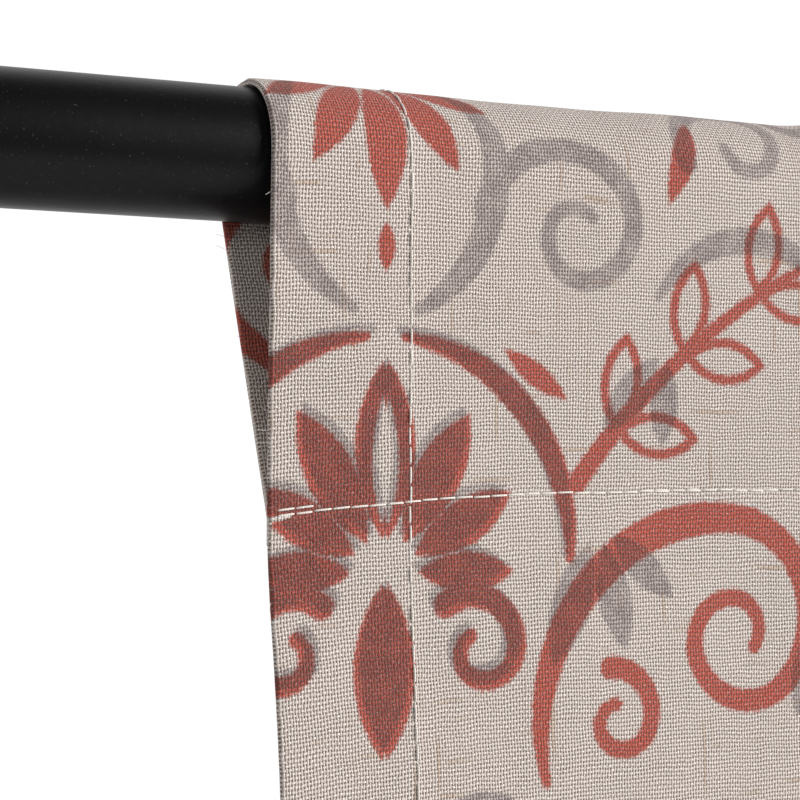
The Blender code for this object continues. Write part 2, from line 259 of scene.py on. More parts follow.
@dataclass(frozen=True)
class Leaf:
    """A leaf between two points, solid or drawn as an outline.

    Attributes:
        base: One end.
        tip: The other end.
        half_width: Half its width at the middle.
        outline: Half the width of its outline, or 0 for a solid leaf.
    """

    base: Point
    tip: Point
    half_width: float
    outline: float = 0.0

    def place(self, graph: Graph, tools: "PrintTools", point: Socket, so_far: Value) -> Socket:
        """Adds the leaf to a drawing and returns the distance to the drawing's edge."""
        return self._placed(graph, tools.outline if self.outline else tools.leaf, point, so_far)

    def cut(self, graph: Graph, tools: "PrintTools", point: Socket, so_far: Value) -> Socket:
        """Takes the leaf out of a drawing and returns the distance to the drawing's edge."""
        away = graph.math("MULTIPLY", self._placed(graph, tools.leaf, point, 99.0), -1.0)
        return graph.math("MAXIMUM", so_far, away)

    def _placed(self, graph: Graph, tree: bpy.types.NodeTree, point: Socket, so_far: Value) -> Socket:
        """Places one of the leaf groups with this leaf's sizes."""
        (bx, by), (tx, ty) = self.base, self.tip
        half_length = math.hypot(tx - bx, ty - by) / 2
        radius = (half_length**2 + self.half_width**2) / (2 * self.half_width)
        node = graph.group(
            tree, Point=point, Centre=((bx + tx) / 2, (by + ty) / 2, 0.0),
            **heading(math.atan2(ty - by, tx - bx)),
            Shift=(0.0, self.half_width - radius, 0.0), Radius=radius, So_Far=so_far,
        )
        if self.outline:
            node.inputs["Outline"].default_value = self.outline
        return node.outputs["Distance"]


@dataclass(frozen=True)
class PrintTools:
    """The node groups that draw one stroke or one leaf."""

    stroke: bpy.types.NodeTree
    leaf: bpy.types.NodeTree
    outline: bpy.types.NodeTree

    @staticmethod
    def made() -> "PrintTools":
        """Builds the three groups."""
        return PrintTools(_stroke_group(), _leaf_group("Leaf", False), _leaf_group("Leaf outline", True))


def _turned_point(graph: Graph, sockets: dict[str, Socket]) -> tuple[Socket, Socket]:
    """The point along and across a motif, from its own centre."""
    off = graph.vector("SUBTRACT", sockets["Point"], sockets["Centre"])
    along = graph.vector("DOT_PRODUCT", off, sockets["Along"])
    return along, graph.vector("DOT_PRODUCT", off, sockets["Across"])


def _stroke_group() -> bpy.types.NodeTree:
    """The distance to a stroke along an arc whose width changes from end to end.

    Each node is made after the ones it reads, here and in the other groups, so that the renderer
    works through a drawing stroke by stroke and never holds more than one stroke's values.
    """
    graph, given, out = new_group(
        "Brush stroke",
        {"Point": "Vector", "Centre": "Vector", "Along": "Vector", "Across": "Vector", "Radius": "Float",
         "Half Sweep": "Float", "Width": "Float", "Slope": "Float", "Swell": "Float", "So Far": "Float"},
        {"Distance": "Float"},
    )
    x, y = _turned_point(graph, given)
    share = graph.math("DIVIDE", graph.math("ARCTAN2", y, x), given["Half Sweep"])
    share = graph.math("MAXIMUM", graph.math("MINIMUM", share, 1.0), -1.0)
    angle = graph.math("MULTIPLY", share, given["Half Sweep"])
    across = graph.math("MULTIPLY", graph.math("COSINE", angle), given["Radius"])
    along = graph.math("MULTIPLY", graph.math("SINE", angle), given["Radius"])
    reach = graph.vector("DISTANCE", graph.joined(x, y), graph.joined(across, along))
    width = graph.math("MULTIPLY_ADD", share, given["Swell"], given["Slope"])
    width = graph.math("MULTIPLY_ADD", share, width, given["Width"])
    graph.feed(out["Distance"], graph.math("MINIMUM", given["So Far"], graph.math("SUBTRACT", reach, width)))
    return graph.tree


def _leaf_group(name: str, outlined: bool) -> bpy.types.NodeTree:
    """The distance to a leaf made of two arcs.

    Args:
        name: The group's name.
        outlined: Whether only the leaf's outline is drawn.

    Returns:
        The group.
    """
    inputs = {"Point": "Vector", "Centre": "Vector", "Along": "Vector", "Across": "Vector",
              "Shift": "Vector", "Radius": "Float", "So Far": "Float"}
    if outlined:
        inputs["Outline"] = "Float"
    graph, given, out = new_group(name, inputs, {"Distance": "Float"})
    side = graph.vector("ABSOLUTE", graph.joined(*_turned_point(graph, given)))
    reach = graph.math("SUBTRACT", graph.vector("DISTANCE", side, given["Shift"]), given["Radius"])
    if outlined:
        shell = graph.math("ABSOLUTE", graph.math("ADD", reach, given["Outline"]))
        reach = graph.math("SUBTRACT", shell, given["Outline"])
    graph.feed(out["Distance"], graph.math("MINIMUM", given["So Far"], reach))
    return graph.tree


Motif = Sequence[Stroke | Leaf]

def volute(centre: Point, radius: float, start: float, hand: int, width: float, steps: int = 3) -> Motif:
    """A scroll that winds inwards, a third of a turn to each stroke.

    Args:
        centre: The scroll's eye, in mm.
        radius: How far from the eye it starts.
        start: The angle it starts at, in degrees.
        hand: 1 to wind anticlockwise, -1 clockwise.
        width: Half its width where it starts.
        steps: How many strokes it has.

    Returns:
        The strokes.
    """
    def at(turn: float) -> Point:
        reach, angle = radius * 0.68**turn, math.radians(start + hand * 120 * turn)
        return centre[0] + reach * math.cos(angle), centre[1] + reach * math.sin(angle)

    return [
        Stroke(at(step), at(step + 0.5), at(step + 1),
               (width * 0.84**step, width * 0.84 ** (step + 0.5), width * 0.84 ** (step + 1)))
        for step in range(steps)
    ]


def fan(base: Point, reach: float, first: float, step: float, count: int, half_width: float) -> Motif:
    """Leaves fanned out from a point, each shorter than the last.

    Args:
        base: Where the leaves spring from, in mm.
        reach: The first leaf's length.
        first: The first leaf's direction, in degrees.
        step: The angle from one leaf to the next.
        count: How many leaves there are.
        half_width: Half the first leaf's width.

    Returns:
        The leaves.
    """
    leaves = []
    for number in range(count):
        angle, share = math.radians(first + step * number), 0.88**number
        along, up = math.cos(angle), math.sin(angle)
        root = (base[0] + 0.16 * reach * along, base[1] + 0.16 * reach * up)
        tip = (base[0] + share * reach * along, base[1] + share * reach * up)
        leaves.append(Leaf(root, tip, half_width * share))
    return leaves


def sprig(start: Point, end: Point, bow: float, pairs: int, length: float) -> Motif:
    """A bowed stem with pairs of outlined leaves and a leaf at its tip.

    Args:
        start: The stem's foot, in mm.
        end: The stem's tip.
        bow: How far the stem's middle stands off the straight line.
        pairs: How many pairs of leaves it has.
        length: A leaf's length.

    Returns:
        The stem and its leaves.
    """
    run, rise = end[0] - start[0], end[1] - start[1]
    reach, lean = math.hypot(run, rise), math.atan2(rise, run)

    def at(share: float) -> Point:
        off = 4 * bow * share * (1 - share) / reach
        return start[0] + run * share - rise * off, start[1] + rise * share + run * off

    marks: list[Stroke | Leaf] = [Stroke(start, at(0.5), end, (1.9, 1.4, 0.9))]
    for number in range(pairs):
        foot = at((number + 0.6) / (pairs + 0.4))
        for turn in (-0.75, 0.75):
            tip = (foot[0] + length * math.cos(lean + turn), foot[1] + length * math.sin(lean + turn))
            marks.append(Leaf(foot, tip, 0.24 * length, 0.9))
    tip = (end[0] + length * math.cos(lean), end[1] + length * math.sin(lean))
    marks.append(Leaf(end, tip, 0.22 * length))
    return marks


MEDALLION: Motif = (
    *fan((0.0, -86.0), 34.0, 90.0, -30.0, 4, 5.0),
    *volute((17.0, -99.0), 10.0, 130.0, -1, 2.3),
    Stroke((3.0, -48.0), (26.0, -60.0), (34.0, -84.0), (0.8, 2.3, 0.9)),
    Leaf((0.0, -88.0), (0.0, -116.0), 5.0),
)
MEDALLION_CUTS = (Leaf((0.0, -78.0), (0.0, -58.0), 1.7),)
CORAL_SPRIG: Motif = (
    *fan((0.0, 2.0), 30.0, -90.0, 30.0, 4, 3.8),
    *sprig((36.0, -72.0), (86.0, -32.0), 4.0, 3, 17.0),
    Leaf((0.0, -38.0), (0.0, -30.0), 1.6),
    Leaf((54.0, -24.0), (60.0, -8.0), 2.4),
    Leaf((22.0, -50.0), (34.0, -58.0), 2.0),
)
CORAL_SCROLL: Motif = (
    Stroke((30.0, -122.0), (36.0, -92.0), (68.0, -78.0), (0.8, 3.0, 2.6)),
    *volute((68.0, -98.0), 20.0, 90.0, -1, 2.6, 4),
    *volute((44.0, -112.0), 9.0, 100.0, -1, 2.0),
)
GREY_SCROLLS: Motif = (
    Stroke((14.0, -4.0), (20.0, -24.0), (6.0, -44.0), (1.0, 2.6, 1.0)),
    *volute((36.0, -30.0), 18.0, 170.0, -1, 2.4, 4),
    *volute((70.0, -12.0), 13.0, 200.0, -1, 2.1),
    *fan((54.0, -48.0), 20.0, 230.0, 36.0, 2, 3.2),
    Stroke((52.0, -40.0), (66.0, -30.0), (90.0, -40.0), (0.8, 2.4, 0.8)),
)
GREY_LEAVES: Motif = (
    *fan((88.0, -92.0), 22.0, 250.0, 40.0, 2, 3.6),
    *fan((40.0, -78.0), 26.0, 250.0, 34.0, 3, 3.8),
    *volute((16.0, -136.0), 12.0, 60.0, 1, 2.3),
)


@dataclass(frozen=True)
class Damask:
    """The repeat of the print: rows of motifs, each row turned half a repeat from the last.

    Attributes:
        axis: The first motif's axis, in mm from the cloth's outer fold.
        half_repeat: From a motif's axis to the next one, in mm.
        row: The height of a row, in mm.
        first_row: The top of the first row above the top fold, in mm.
        lower_shift: How far down the rows of the lower motifs are taken, in mm, so that none is cut.
        fuzz: How far the threads spread an edge of ink, in mm.
    """

    axis: float = 20.0
    half_repeat: float = 100.0
    row: float = 135.0
    first_row: float = 8.0
    lower_shift: float = 60.0
    fuzz: float = 0.34

    def _row_point(self, graph: Graph, x: Socket, y: Socket, shift: float) -> Socket:
        """The place inside a row's motif for a place on the cloth."""
        top = self.first_row - shift
        row = graph.math("FLOOR", graph.math("MULTIPLY_ADD", y, -1 / self.row, top / self.row))
        odd = graph.math("FLOORED_MODULO", row, 2.0)
        folded = graph.math("PINGPONG", x, self.half_repeat)
        turned = graph.math("MULTIPLY_ADD", odd, -self.half_repeat, folded)
        return graph.joined(graph.math("ABSOLUTE", turned), graph.math("MULTIPLY_ADD", row, self.row, y))

    def group(self) -> bpy.types.NodeTree:
        """Builds the group that gives each ink's mask at a place on the flat cloth."""
        tools = PrintTools.made()
        graph, given, out = new_group(
            "Damask print", {"Flat": "Vector", "Fray": "Float"}, {"Coral": "Float", "Grey": "Float"}
        )
        scaled = graph.vector("MULTIPLY_ADD", given["Flat"], (1000.0, 1000.0, 0.0), (-self.axis, 0.0, 0.0))
        x, y, _ = graph.parts(scaled)
        upper = self._row_point(graph, x, y, 0.0)
        lower = self._row_point(graph, x, y, self.lower_shift)
        coral: Value = 99.0
        for mark in CORAL_SPRIG:
            coral = mark.place(graph, tools, upper, coral)
        for mark in CORAL_SCROLL:
            coral = mark.place(graph, tools, lower, coral)
        grey: Value = 99.0
        for mark in GREY_SCROLLS:
            grey = mark.place(graph, tools, upper, grey)
        for mark in GREY_LEAVES:
            grey = mark.place(graph, tools, lower, grey)
        medallion = self._medallion(tools)
        for ink, drawn in ((Ink.CORAL, coral), (Ink.GREY, grey)):
            off = graph.vector("SUBTRACT", upper, (*ink.value, 0.0))
            both = graph.group(medallion, Point=off).outputs["Distance"]
            edge = graph.math("ADD", graph.math("MINIMUM", drawn, both), given["Fray"])
            graph.feed(out[ink.name.title()], graph.remap(edge, self.fuzz, -self.fuzz))
        return graph.tree

    def _medallion(self, tools: PrintTools) -> bpy.types.NodeTree:
        """The medallion on its own, which both inks print."""
        graph, given, out = new_group("Medallion", {"Point": "Vector"}, {"Distance": "Float"})
        drawn: Value = 99.0
        for mark in MEDALLION:
            drawn = mark.place(graph, tools, given["Point"], drawn)
        for mark in MEDALLION_CUTS:
            drawn = mark.cut(graph, tools, given["Point"], drawn)
        graph.feed(out["Distance"], drawn)
        return graph.tree


@dataclass(frozen=True)
class Weave:
    """An open plain weave of uneven yarn.

    Attributes:
        warp_pitch: From one upright thread to the next, in metres.
        weft_pitch: From one level thread to the next, in metres.
        warp_cover: How much of its pitch an upright thread fills.
        weft_cover: How much of its pitch a level thread fills.
    """

    warp_pitch: float = 0.55 * MILLIMETRE
    weft_pitch: float = 0.69 * MILLIMETRE
    warp_cover: float = 0.61
    weft_cover: float = 0.63

    def group(self) -> bpy.types.NodeTree:
        """Builds the group that gives the threads' height, gaps, tone and slubs at a flat place."""
        graph, given, out = new_group(
            "Plain weave", {"Flat": "Vector"},
            {"Height": "Float", "Gap": "Float", "Tone": "Float", "Slub": "Float", "Fibre": "Float"},
        )
        flat = given["Flat"]
        drift = graph.math("MULTIPLY_ADD", graph.noise(flat, 160.0, 3.0), 1.6, -0.8)
        u, v, _ = graph.parts(flat)
        a = graph.math("MULTIPLY_ADD", u, 1 / self.warp_pitch, drift)
        b = graph.math("MULTIPLY_ADD", v, 1 / self.weft_pitch, drift)
        column, row = graph.math("FLOOR", a), graph.math("FLOOR", b)
        warp_yarn = self._yarn(graph, v, column, 38.0)
        weft_yarn = self._yarn(graph, u, row, 46.0)
        warp, warp_gap = self._thread(graph, a, column, b, self.warp_cover, warp_yarn, 1.0)
        weft, weft_gap = self._thread(graph, b, row, a, self.weft_cover, weft_yarn, -1.0)
        gap = graph.math("MULTIPLY", warp_gap, weft_gap)
        over = graph.math("GREATER_THAN", warp, weft)
        lower = graph.math("MULTIPLY", graph.math("SUBTRACT", 1.0, over), weft_yarn)
        tone = graph.math("MULTIPLY_ADD", over, warp_yarn, lower)
        graph.feed(out["Height"], graph.math("MAXIMUM", warp, weft))
        graph.feed(out["Gap"], gap)
        graph.feed(out["Tone"], tone)
        thick = graph.remap(graph.math("MAXIMUM", warp_yarn, weft_yarn), 0.84, 1.0)
        thick = graph.math("MULTIPLY", thick, 0.6)
        graph.feed(out["Slub"], graph.math("MAXIMUM", graph.remap(tone, 0.82, 1.0), thick))
        graph.feed(out["Fibre"], graph.noise(flat, 3600.0, 2.0, 0.65))
        return graph.tree

    @staticmethod
    def _yarn(graph: Graph, along: Socket, number: Socket, swells: float) -> Socket:
        """A value from about 0 to 1 that changes slowly along each yarn and from one to the next."""
        place = graph.joined(graph.math("MULTIPLY", along, swells), graph.math("MULTIPLY", number, 3.71))
        return graph.math("MULTIPLY_ADD", graph.noise(place, 1.0, 2.0, 0.6), 2.3, -0.65)

    def _thread(self, graph: Graph, across: Socket, number: Socket, along: Socket, cover: float,
                yarn: Socket, order: float) -> tuple[Socket, Socket]:
        """One set of threads.

        Args:
            graph: The graph that the nodes go in.
            across: Place across the threads, in threads.
            number: Which thread it is.
            along: Place along the thread, in crossings.
            cover: How much of the pitch a thread fills.
            yarn: A value that varies from yarn to yarn.
            order: 1 for the set that goes over first, -1 for the other.

        Returns:
            The thread's height, and 1 where there is no thread.
        """
        width = graph.math("MULTIPLY_ADD", yarn, 0.26, cover - 0.13)
        off = graph.math("PINGPONG", across, 0.5)
        reach = graph.math("DIVIDE", graph.math("SUBTRACT", 0.5, off), graph.math("MULTIPLY", width, 0.5))
        crown = graph.math("SUBTRACT", 1.0, graph.math("MULTIPLY", reach, reach))
        wave = graph.math("SINE", graph.math("MULTIPLY", along, math.pi))
        turn = graph.math("COSINE", graph.math("MULTIPLY", number, math.pi))
        lift = graph.math("MULTIPLY", graph.math("MULTIPLY", wave, turn), 0.5 * order)
        bare = graph.remap(reach, 0.92, 1.12)
        sunk = graph.math("MULTIPLY", bare, -2.0)
        return graph.math("ADD", graph.math("MULTIPLY_ADD", crown, 0.5, lift), sunk), bare


# Finishes


def new_material(name: str) -> tuple[bpy.types.Material, Graph, bpy.types.Node]:
    """Starts a material.

    Args:
        name: The material's name.

    Returns:
        The material, its graph and its Principled shader.
    """
    material = bpy.data.materials.new(name)
    material.use_nodes = True
    graph = Graph(material.node_tree)
    return material, graph, material.node_tree.nodes["Principled BSDF"]


@dataclass(frozen=True)
class PrintedCloth:
    """One side of the printed cloth.

    Attributes:
        name: The material's name.
        coral_strength: How strongly the coral ink shows on this side.
        grey_strength: How strongly the grey ink shows.
        ivory: The bare yarn.
        yarn_tone_and_dip_shade: The darker tone of some yarns, also used as painted shade where the threads
            dip.
        slub: Thick ochre yarns.
        gap: Painted shade in the holes between the threads, a dark colour put where light would show through.
        coral: The coral ink.
        grey: The grey ink.
        overprint: Where both inks lie.
    """

    name: str
    coral_strength: float = 0.94
    grey_strength: float = 0.88
    ivory: tuple = (0.900, 0.845, 0.800, 1.0)
    yarn_tone_and_dip_shade: tuple = (0.600, 0.520, 0.470, 1.0)
    slub: tuple = (0.580, 0.430, 0.290, 1.0)
    gap: tuple = (0.110, 0.080, 0.068, 1.0)
    coral: tuple = (0.585, 0.072, 0.036, 1.0)
    grey: tuple = (0.330, 0.285, 0.295, 1.0)
    overprint: tuple = (0.205, 0.052, 0.038, 1.0)

    def material(self, weave: bpy.types.NodeTree, damask: bpy.types.NodeTree) -> bpy.types.Material:
        """Builds the material from the weave and print groups."""
        material, graph, shader = new_material(self.name)
        place = graph.node("UVMap", uv_map="printed").outputs[0]
        flat = graph.node("UVMap", uv_map="woven").outputs[0]
        woven = graph.group(weave, Flat=flat).outputs
        fray = graph.math("MULTIPLY_ADD", graph.noise(flat, 1300.0, 2.0, 0.7), 1.5, -0.75)
        fray = graph.math("MULTIPLY_ADD", woven["Tone"], 0.35, graph.math("SUBTRACT", fray, 0.17))
        printed = graph.group(damask, Flat=place, Fray=fray).outputs
        coral_worn = graph.remap(graph.noise(flat, 1900.0, 3.0, 0.75), 0.30, 0.50, 0.70, 1.0)
        grey_worn = graph.remap(graph.noise(place, 1500.0, 3.0, 0.75), 0.36, 0.58, 0.62, 1.0)
        blotch = graph.remap(graph.noise(place, 260.0, 3.0, 0.6), 0.36, 0.60, 0.62, 1.0)
        grey_worn = graph.math("MULTIPLY", grey_worn, blotch)
        coral = graph.math("MULTIPLY", printed["Coral"], coral_worn)
        coral = graph.math("MULTIPLY", coral, self.coral_strength)
        grey = graph.math("MULTIPLY", graph.math("MULTIPLY", printed["Grey"], grey_worn), self.grey_strength)
        yarn = graph.blend(graph.remap(woven["Tone"], 0.25, 1.0, 0.0, 0.40), self.ivory, self.yarn_tone_and_dip_shade)
        yarn = graph.blend(graph.math("MULTIPLY", woven["Slub"], 0.62), yarn, self.slub)
        plain = graph.blend(coral, yarn, self.coral)
        under_grey = graph.blend(coral, self.grey, self.overprint)
        inked = graph.blend(grey, plain, under_grey)
        # Painted shade: the colour is darkened where the threads dip at their edges and under their
        # crossings.
        deep = graph.remap(woven["Height"], 0.98, -0.2, 0.0, 1.0)
        shaded = graph.blend(deep, inked, self.yarn_tone_and_dip_shade, "MULTIPLY")
        speckle = graph.remap(woven["Fibre"], 0.32, 0.66, 0.0, 0.62)
        grained = graph.blend(speckle, shaded, (0.45, 0.40, 0.37, 1.0), "MULTIPLY")
        pale = graph.remap(woven["Fibre"], 0.42, 0.20, 0.0, 0.34)
        grained = graph.blend(pale, grained, self.ivory)
        # Painted shade: the holes between the threads are filled with a dark colour instead of being open.
        cloth = graph.blend(graph.math("MULTIPLY", woven["Gap"], 0.92), grained, self.gap)
        graph.feed(shader.inputs["Base Color"], cloth)
        shader.inputs["Roughness"].default_value = 0.90
        shader.inputs["Specular IOR Level"].default_value = 0.22
        shader.inputs["Sheen Weight"].default_value = 0.12
        shader.inputs["Sheen Roughness"].default_value = 0.5
        bump = graph.node("Bump")
        bump.inputs["Strength"].default_value = 0.70
        bump.inputs["Distance"].default_value = 0.00026
        graph.feed(bump.inputs["Height"], graph.math("MAXIMUM", woven["Height"], -0.9))
        graph.feed(shader.inputs["Normal"], bump.outputs[0])
        return material


@dataclass(frozen=True)
class Enamel:
    """Black enamel on steel, with a little dust.

    Attributes:
        name: The material's name.
        colour: The enamel's colour.
        roughness: How matt it is.
        dust: How much dust shows.
    """

    name: str
    colour: tuple = (0.0042, 0.0038, 0.0043, 1.0)
    roughness: float = 0.32
    dust: float = 0.25

    def material(self, dust: bpy.types.NodeTree) -> bpy.types.Material:
        """Builds the material from the dust group."""
        material, graph, shader = new_material(self.name)
        place = graph.node("TexCoord").outputs["Object"]
        settled = graph.group(dust, Place=place, Amount=self.dust).outputs
        specks = graph.blend(settled["Specks"], self.colour, (0.16, 0.155, 0.15, 1.0))
        graph.feed(shader.inputs["Base Color"], specks)
        rough = graph.math("MULTIPLY_ADD", settled["Smear"], 0.10, self.roughness)
        graph.feed(shader.inputs["Roughness"], rough)
        shader.inputs["Specular IOR Level"].default_value = 0.17
        bump = graph.node("Bump")
        bump.inputs["Strength"].default_value = 0.12
        bump.inputs["Distance"].default_value = 0.0002
        graph.feed(bump.inputs["Height"], settled["Peel"])
        graph.feed(shader.inputs["Normal"], bump.outputs[0])
        return material


def dust_group() -> bpy.types.NodeTree:
    """Builds the group that gives dust specks, smears and the enamel's orange peel."""
    graph, given, out = new_group(
        "Dust", {"Place": "Vector", "Amount": "Float"}, {"Specks": "Float", "Smear": "Float", "Peel": "Float"}
    )
    fine = graph.noise(given["Place"], 2600.0, 1.0)
    speck = graph.remap(fine, 0.70, 0.78)
    graph.feed(out["Specks"], graph.math("MULTIPLY", speck, given["Amount"]))
    graph.feed(out["Smear"], graph.noise(given["Place"], 45.0, 3.0))
    graph.feed(out["Peel"], graph.noise(given["Place"], 700.0, 2.0))
    return graph.tree


@dataclass(frozen=True)
class SewingThread:
    """Twisted cream sewing thread."""

    name: str = "cream sewing thread"
    colour: tuple = (0.90, 0.85, 0.79, 1.0)

    def material(self) -> bpy.types.Material:
        """Builds the material with the thread's twist."""
        material, graph, shader = new_material(self.name)
        place = graph.node("TexCoord").outputs["Object"]
        x, y, z = graph.parts(place)
        along = graph.math("ADD", graph.math("ADD", x, y), z)
        twist = graph.math("SINE", graph.math("MULTIPLY", along, math.tau / (0.45 * MILLIMETRE)))
        # Painted shade: the thread's colour darkens in bands along the twist, following the same wave as the
        # bump.
        tone = graph.remap(twist, -1.0, 1.0, 0.0, 0.30)
        graph.feed(shader.inputs["Base Color"], graph.blend(tone, self.colour, (0.56, 0.47, 0.38, 1.0)))
        shader.inputs["Roughness"].default_value = 0.7
        shader.inputs["Sheen Weight"].default_value = 0.2
        bump = graph.node("Bump")
        bump.inputs["Strength"].default_value = 0.4
        bump.inputs["Distance"].default_value = 0.0001
        graph.feed(bump.inputs["Height"], twist)
        graph.feed(shader.inputs["Normal"], bump.outputs[0])
        return material


@dataclass
class Finishes:
    """Every material, made once."""

    front: bpy.types.Material = field(init=False)
    back: bpy.types.Material = field(init=False)
    rod: bpy.types.Material = field(init=False)
    bracket: bpy.types.Material = field(init=False)
    screw: bpy.types.Material = field(init=False)
    knob: bpy.types.Material = field(init=False)
    thread: bpy.types.Material = field(init=False)

    def __post_init__(self) -> None:
        """Builds the groups, then the materials that use them."""
        weave, damask, dust = Weave().group(), Damask().group(), dust_group()
        self.front = PrintedCloth("printed side of the cloth").material(weave, damask)
        self.back = PrintedCloth("plain side of the cloth", 0.40, 0.30).material(weave, damask)
        self.rod = Enamel("black rod enamel").material(dust)
        self.bracket = Enamel("black bracket enamel", roughness=0.42, dust=0.3).material(dust)
        self.screw = Enamel("black oxide screw", (0.022, 0.021, 0.022, 1.0), 0.36, 0.2).material(dust)
        self.knob = Enamel("black knob", (0.014, 0.014, 0.015, 1.0), 0.50, 0.2).material(dust)
        self.thread = SewingThread().material()


def added(name: str, data: bpy.types.ID) -> bpy.types.Object:
    """Adds an object to the scene and returns it."""
    piece = bpy.data.objects.new(name, data)
    bpy.context.collection.objects.link(piece)
    return piece


# Cloth


@dataclass(frozen=True)
class RodPocket:
    """How the cloth runs over the rod: sizes measured from the rod's axis, which is `axis` in Y and Z."""

    axis: Point
    loop_radius: float = 0.01195
    seam_depth: float = 0.0590
    seam_forward: float = 0.0110
    back_gap: float = 0.0008
    tail: float = 0.0045
    length: float = 1.600
    bottom_hem: float = 0.076
    bottom_radius: float = 0.0009

    @property
    def quarter(self) -> float:
        """The length of cloth from the top of the rod to its front."""
        return self.loop_radius * math.pi / 2

    @property
    def back_seam(self) -> Point:
        """Where the back layer meets the seam, in (y, z) from the rod's axis."""
        return -self.seam_forward + self.back_gap, -self.seam_depth

    @property
    def back_angle(self) -> float:
        """The angle at which the back layer leaves the rod."""
        y, z = self.back_seam
        return math.atan2(z, y) + math.acos(self.loop_radius / math.hypot(y, z))

    @property
    def back_straight(self) -> float:
        """The length of the back layer between the rod and the seam."""
        return math.sqrt(math.hypot(*self.back_seam) ** 2 - self.loop_radius**2)

    @property
    def back_leaves(self) -> float:
        """Where the back layer leaves the rod, as a distance down from the top fold."""
        return -self.loop_radius * (math.pi / 2 - self.back_angle)

    @property
    def start(self) -> float:
        """The turned edge behind the seam, as a distance down from the top fold."""
        return self.back_leaves - self.back_straight - self.tail

    @property
    def turn(self) -> float:
        """Where the bottom fold starts, as a distance down from the top fold."""
        return self.length - self.bottom_radius

    @property
    def end(self) -> float:
        """The upper edge of the bottom hem, on the back."""
        return self.turn + math.pi * self.bottom_radius + self.bottom_hem

    def rows(self) -> np.ndarray:
        """The distances down from the top fold at which the cloth has its points."""
        seam = self.quarter + self.seam_depth
        stretches = (
            (self.start, self.back_leaves, 30), (self.back_leaves, 0.0, 20), (0.0, self.quarter, 14),
            (self.quarter, seam - 0.006, 22), (seam - 0.006, seam + 0.006, 12), (seam + 0.006, 0.140, 22),
            (0.140, 0.260, 16), (0.260, 0.520, 20), (0.520, self.length - 0.08, 44),
            (self.length - 0.08, self.turn, 12), (self.turn, self.turn + math.pi * self.bottom_radius, 6),
            (self.turn + math.pi * self.bottom_radius, self.end, 10),
        )
        marks = [np.linspace(first, last, count, endpoint=False) for first, last, count in stretches]
        return np.concatenate([*marks, [self.end]])

    def run(self, down: np.ndarray, deepen: np.ndarray) -> tuple[np.ndarray, ...]:
        """Follows the cloth over the rod and down.

        Args:
            down: Distances down from the top fold.
            deepen: How much deeper than usual the seam lies behind each place, as a factor.

        Returns:
            The y and z from the rod's axis, and the y and z of the direction out of the cloth's face.
        """
        radius, angle = self.loop_radius, np.clip(np.pi / 2 + down / self.loop_radius, self.back_angle, np.pi)
        y, z = radius * np.cos(angle), radius * np.sin(angle)
        out_y, out_z = np.cos(angle), np.sin(angle)
        behind = down < self.back_leaves
        share = np.minimum((self.back_leaves - down) / self.back_straight, 1.0)
        tail = np.maximum(self.back_leaves - self.back_straight - down, 0.0)
        leave_y, leave_z = radius * math.cos(self.back_angle), radius * math.sin(self.back_angle)
        seam_y, seam_z = self.back_seam
        y = np.where(behind, leave_y + (seam_y - leave_y) * share, y)
        z = np.where(behind, leave_z + (seam_z * deepen - leave_z) * share - tail, z)
        depth = np.clip(down - self.quarter, 0.0, self.turn - self.quarter)
        y = np.where(down > self.quarter, self.front(depth), y)
        z = np.where(down > self.quarter, -depth, z)
        turned = np.clip((down - self.turn) / self.bottom_radius, 0.0, np.pi)
        risen = np.maximum(down - self.turn - np.pi * self.bottom_radius, 0.0)
        below = down > self.turn
        y = np.where(below, y + self.bottom_radius * (1 - np.cos(turned)), y)
        z = np.where(below, z - self.bottom_radius * np.sin(turned) + risen, z)
        out_y = np.where(below, -np.cos(turned), out_y)
        out_z = np.where(below, -np.sin(turned), out_z)
        return y, z, out_y, out_z

    def front(self, depth: np.ndarray) -> np.ndarray:
        """Where the front layer hangs: plumb from the rod's front, then settling under the rod."""
        near = -self.loop_radius + (self.loop_radius - self.seam_forward) * eased(0.0, self.seam_depth, depth)
        return near * (1 - eased(0.10, 0.60, depth))


def eased(low: float, high: float, values: np.ndarray) -> np.ndarray:
    """Eases from 0 at low to 1 at high over an array."""
    share = np.clip((values - low) / (high - low), 0.0, 1.0)
    return share * share * (3 - 2 * share)


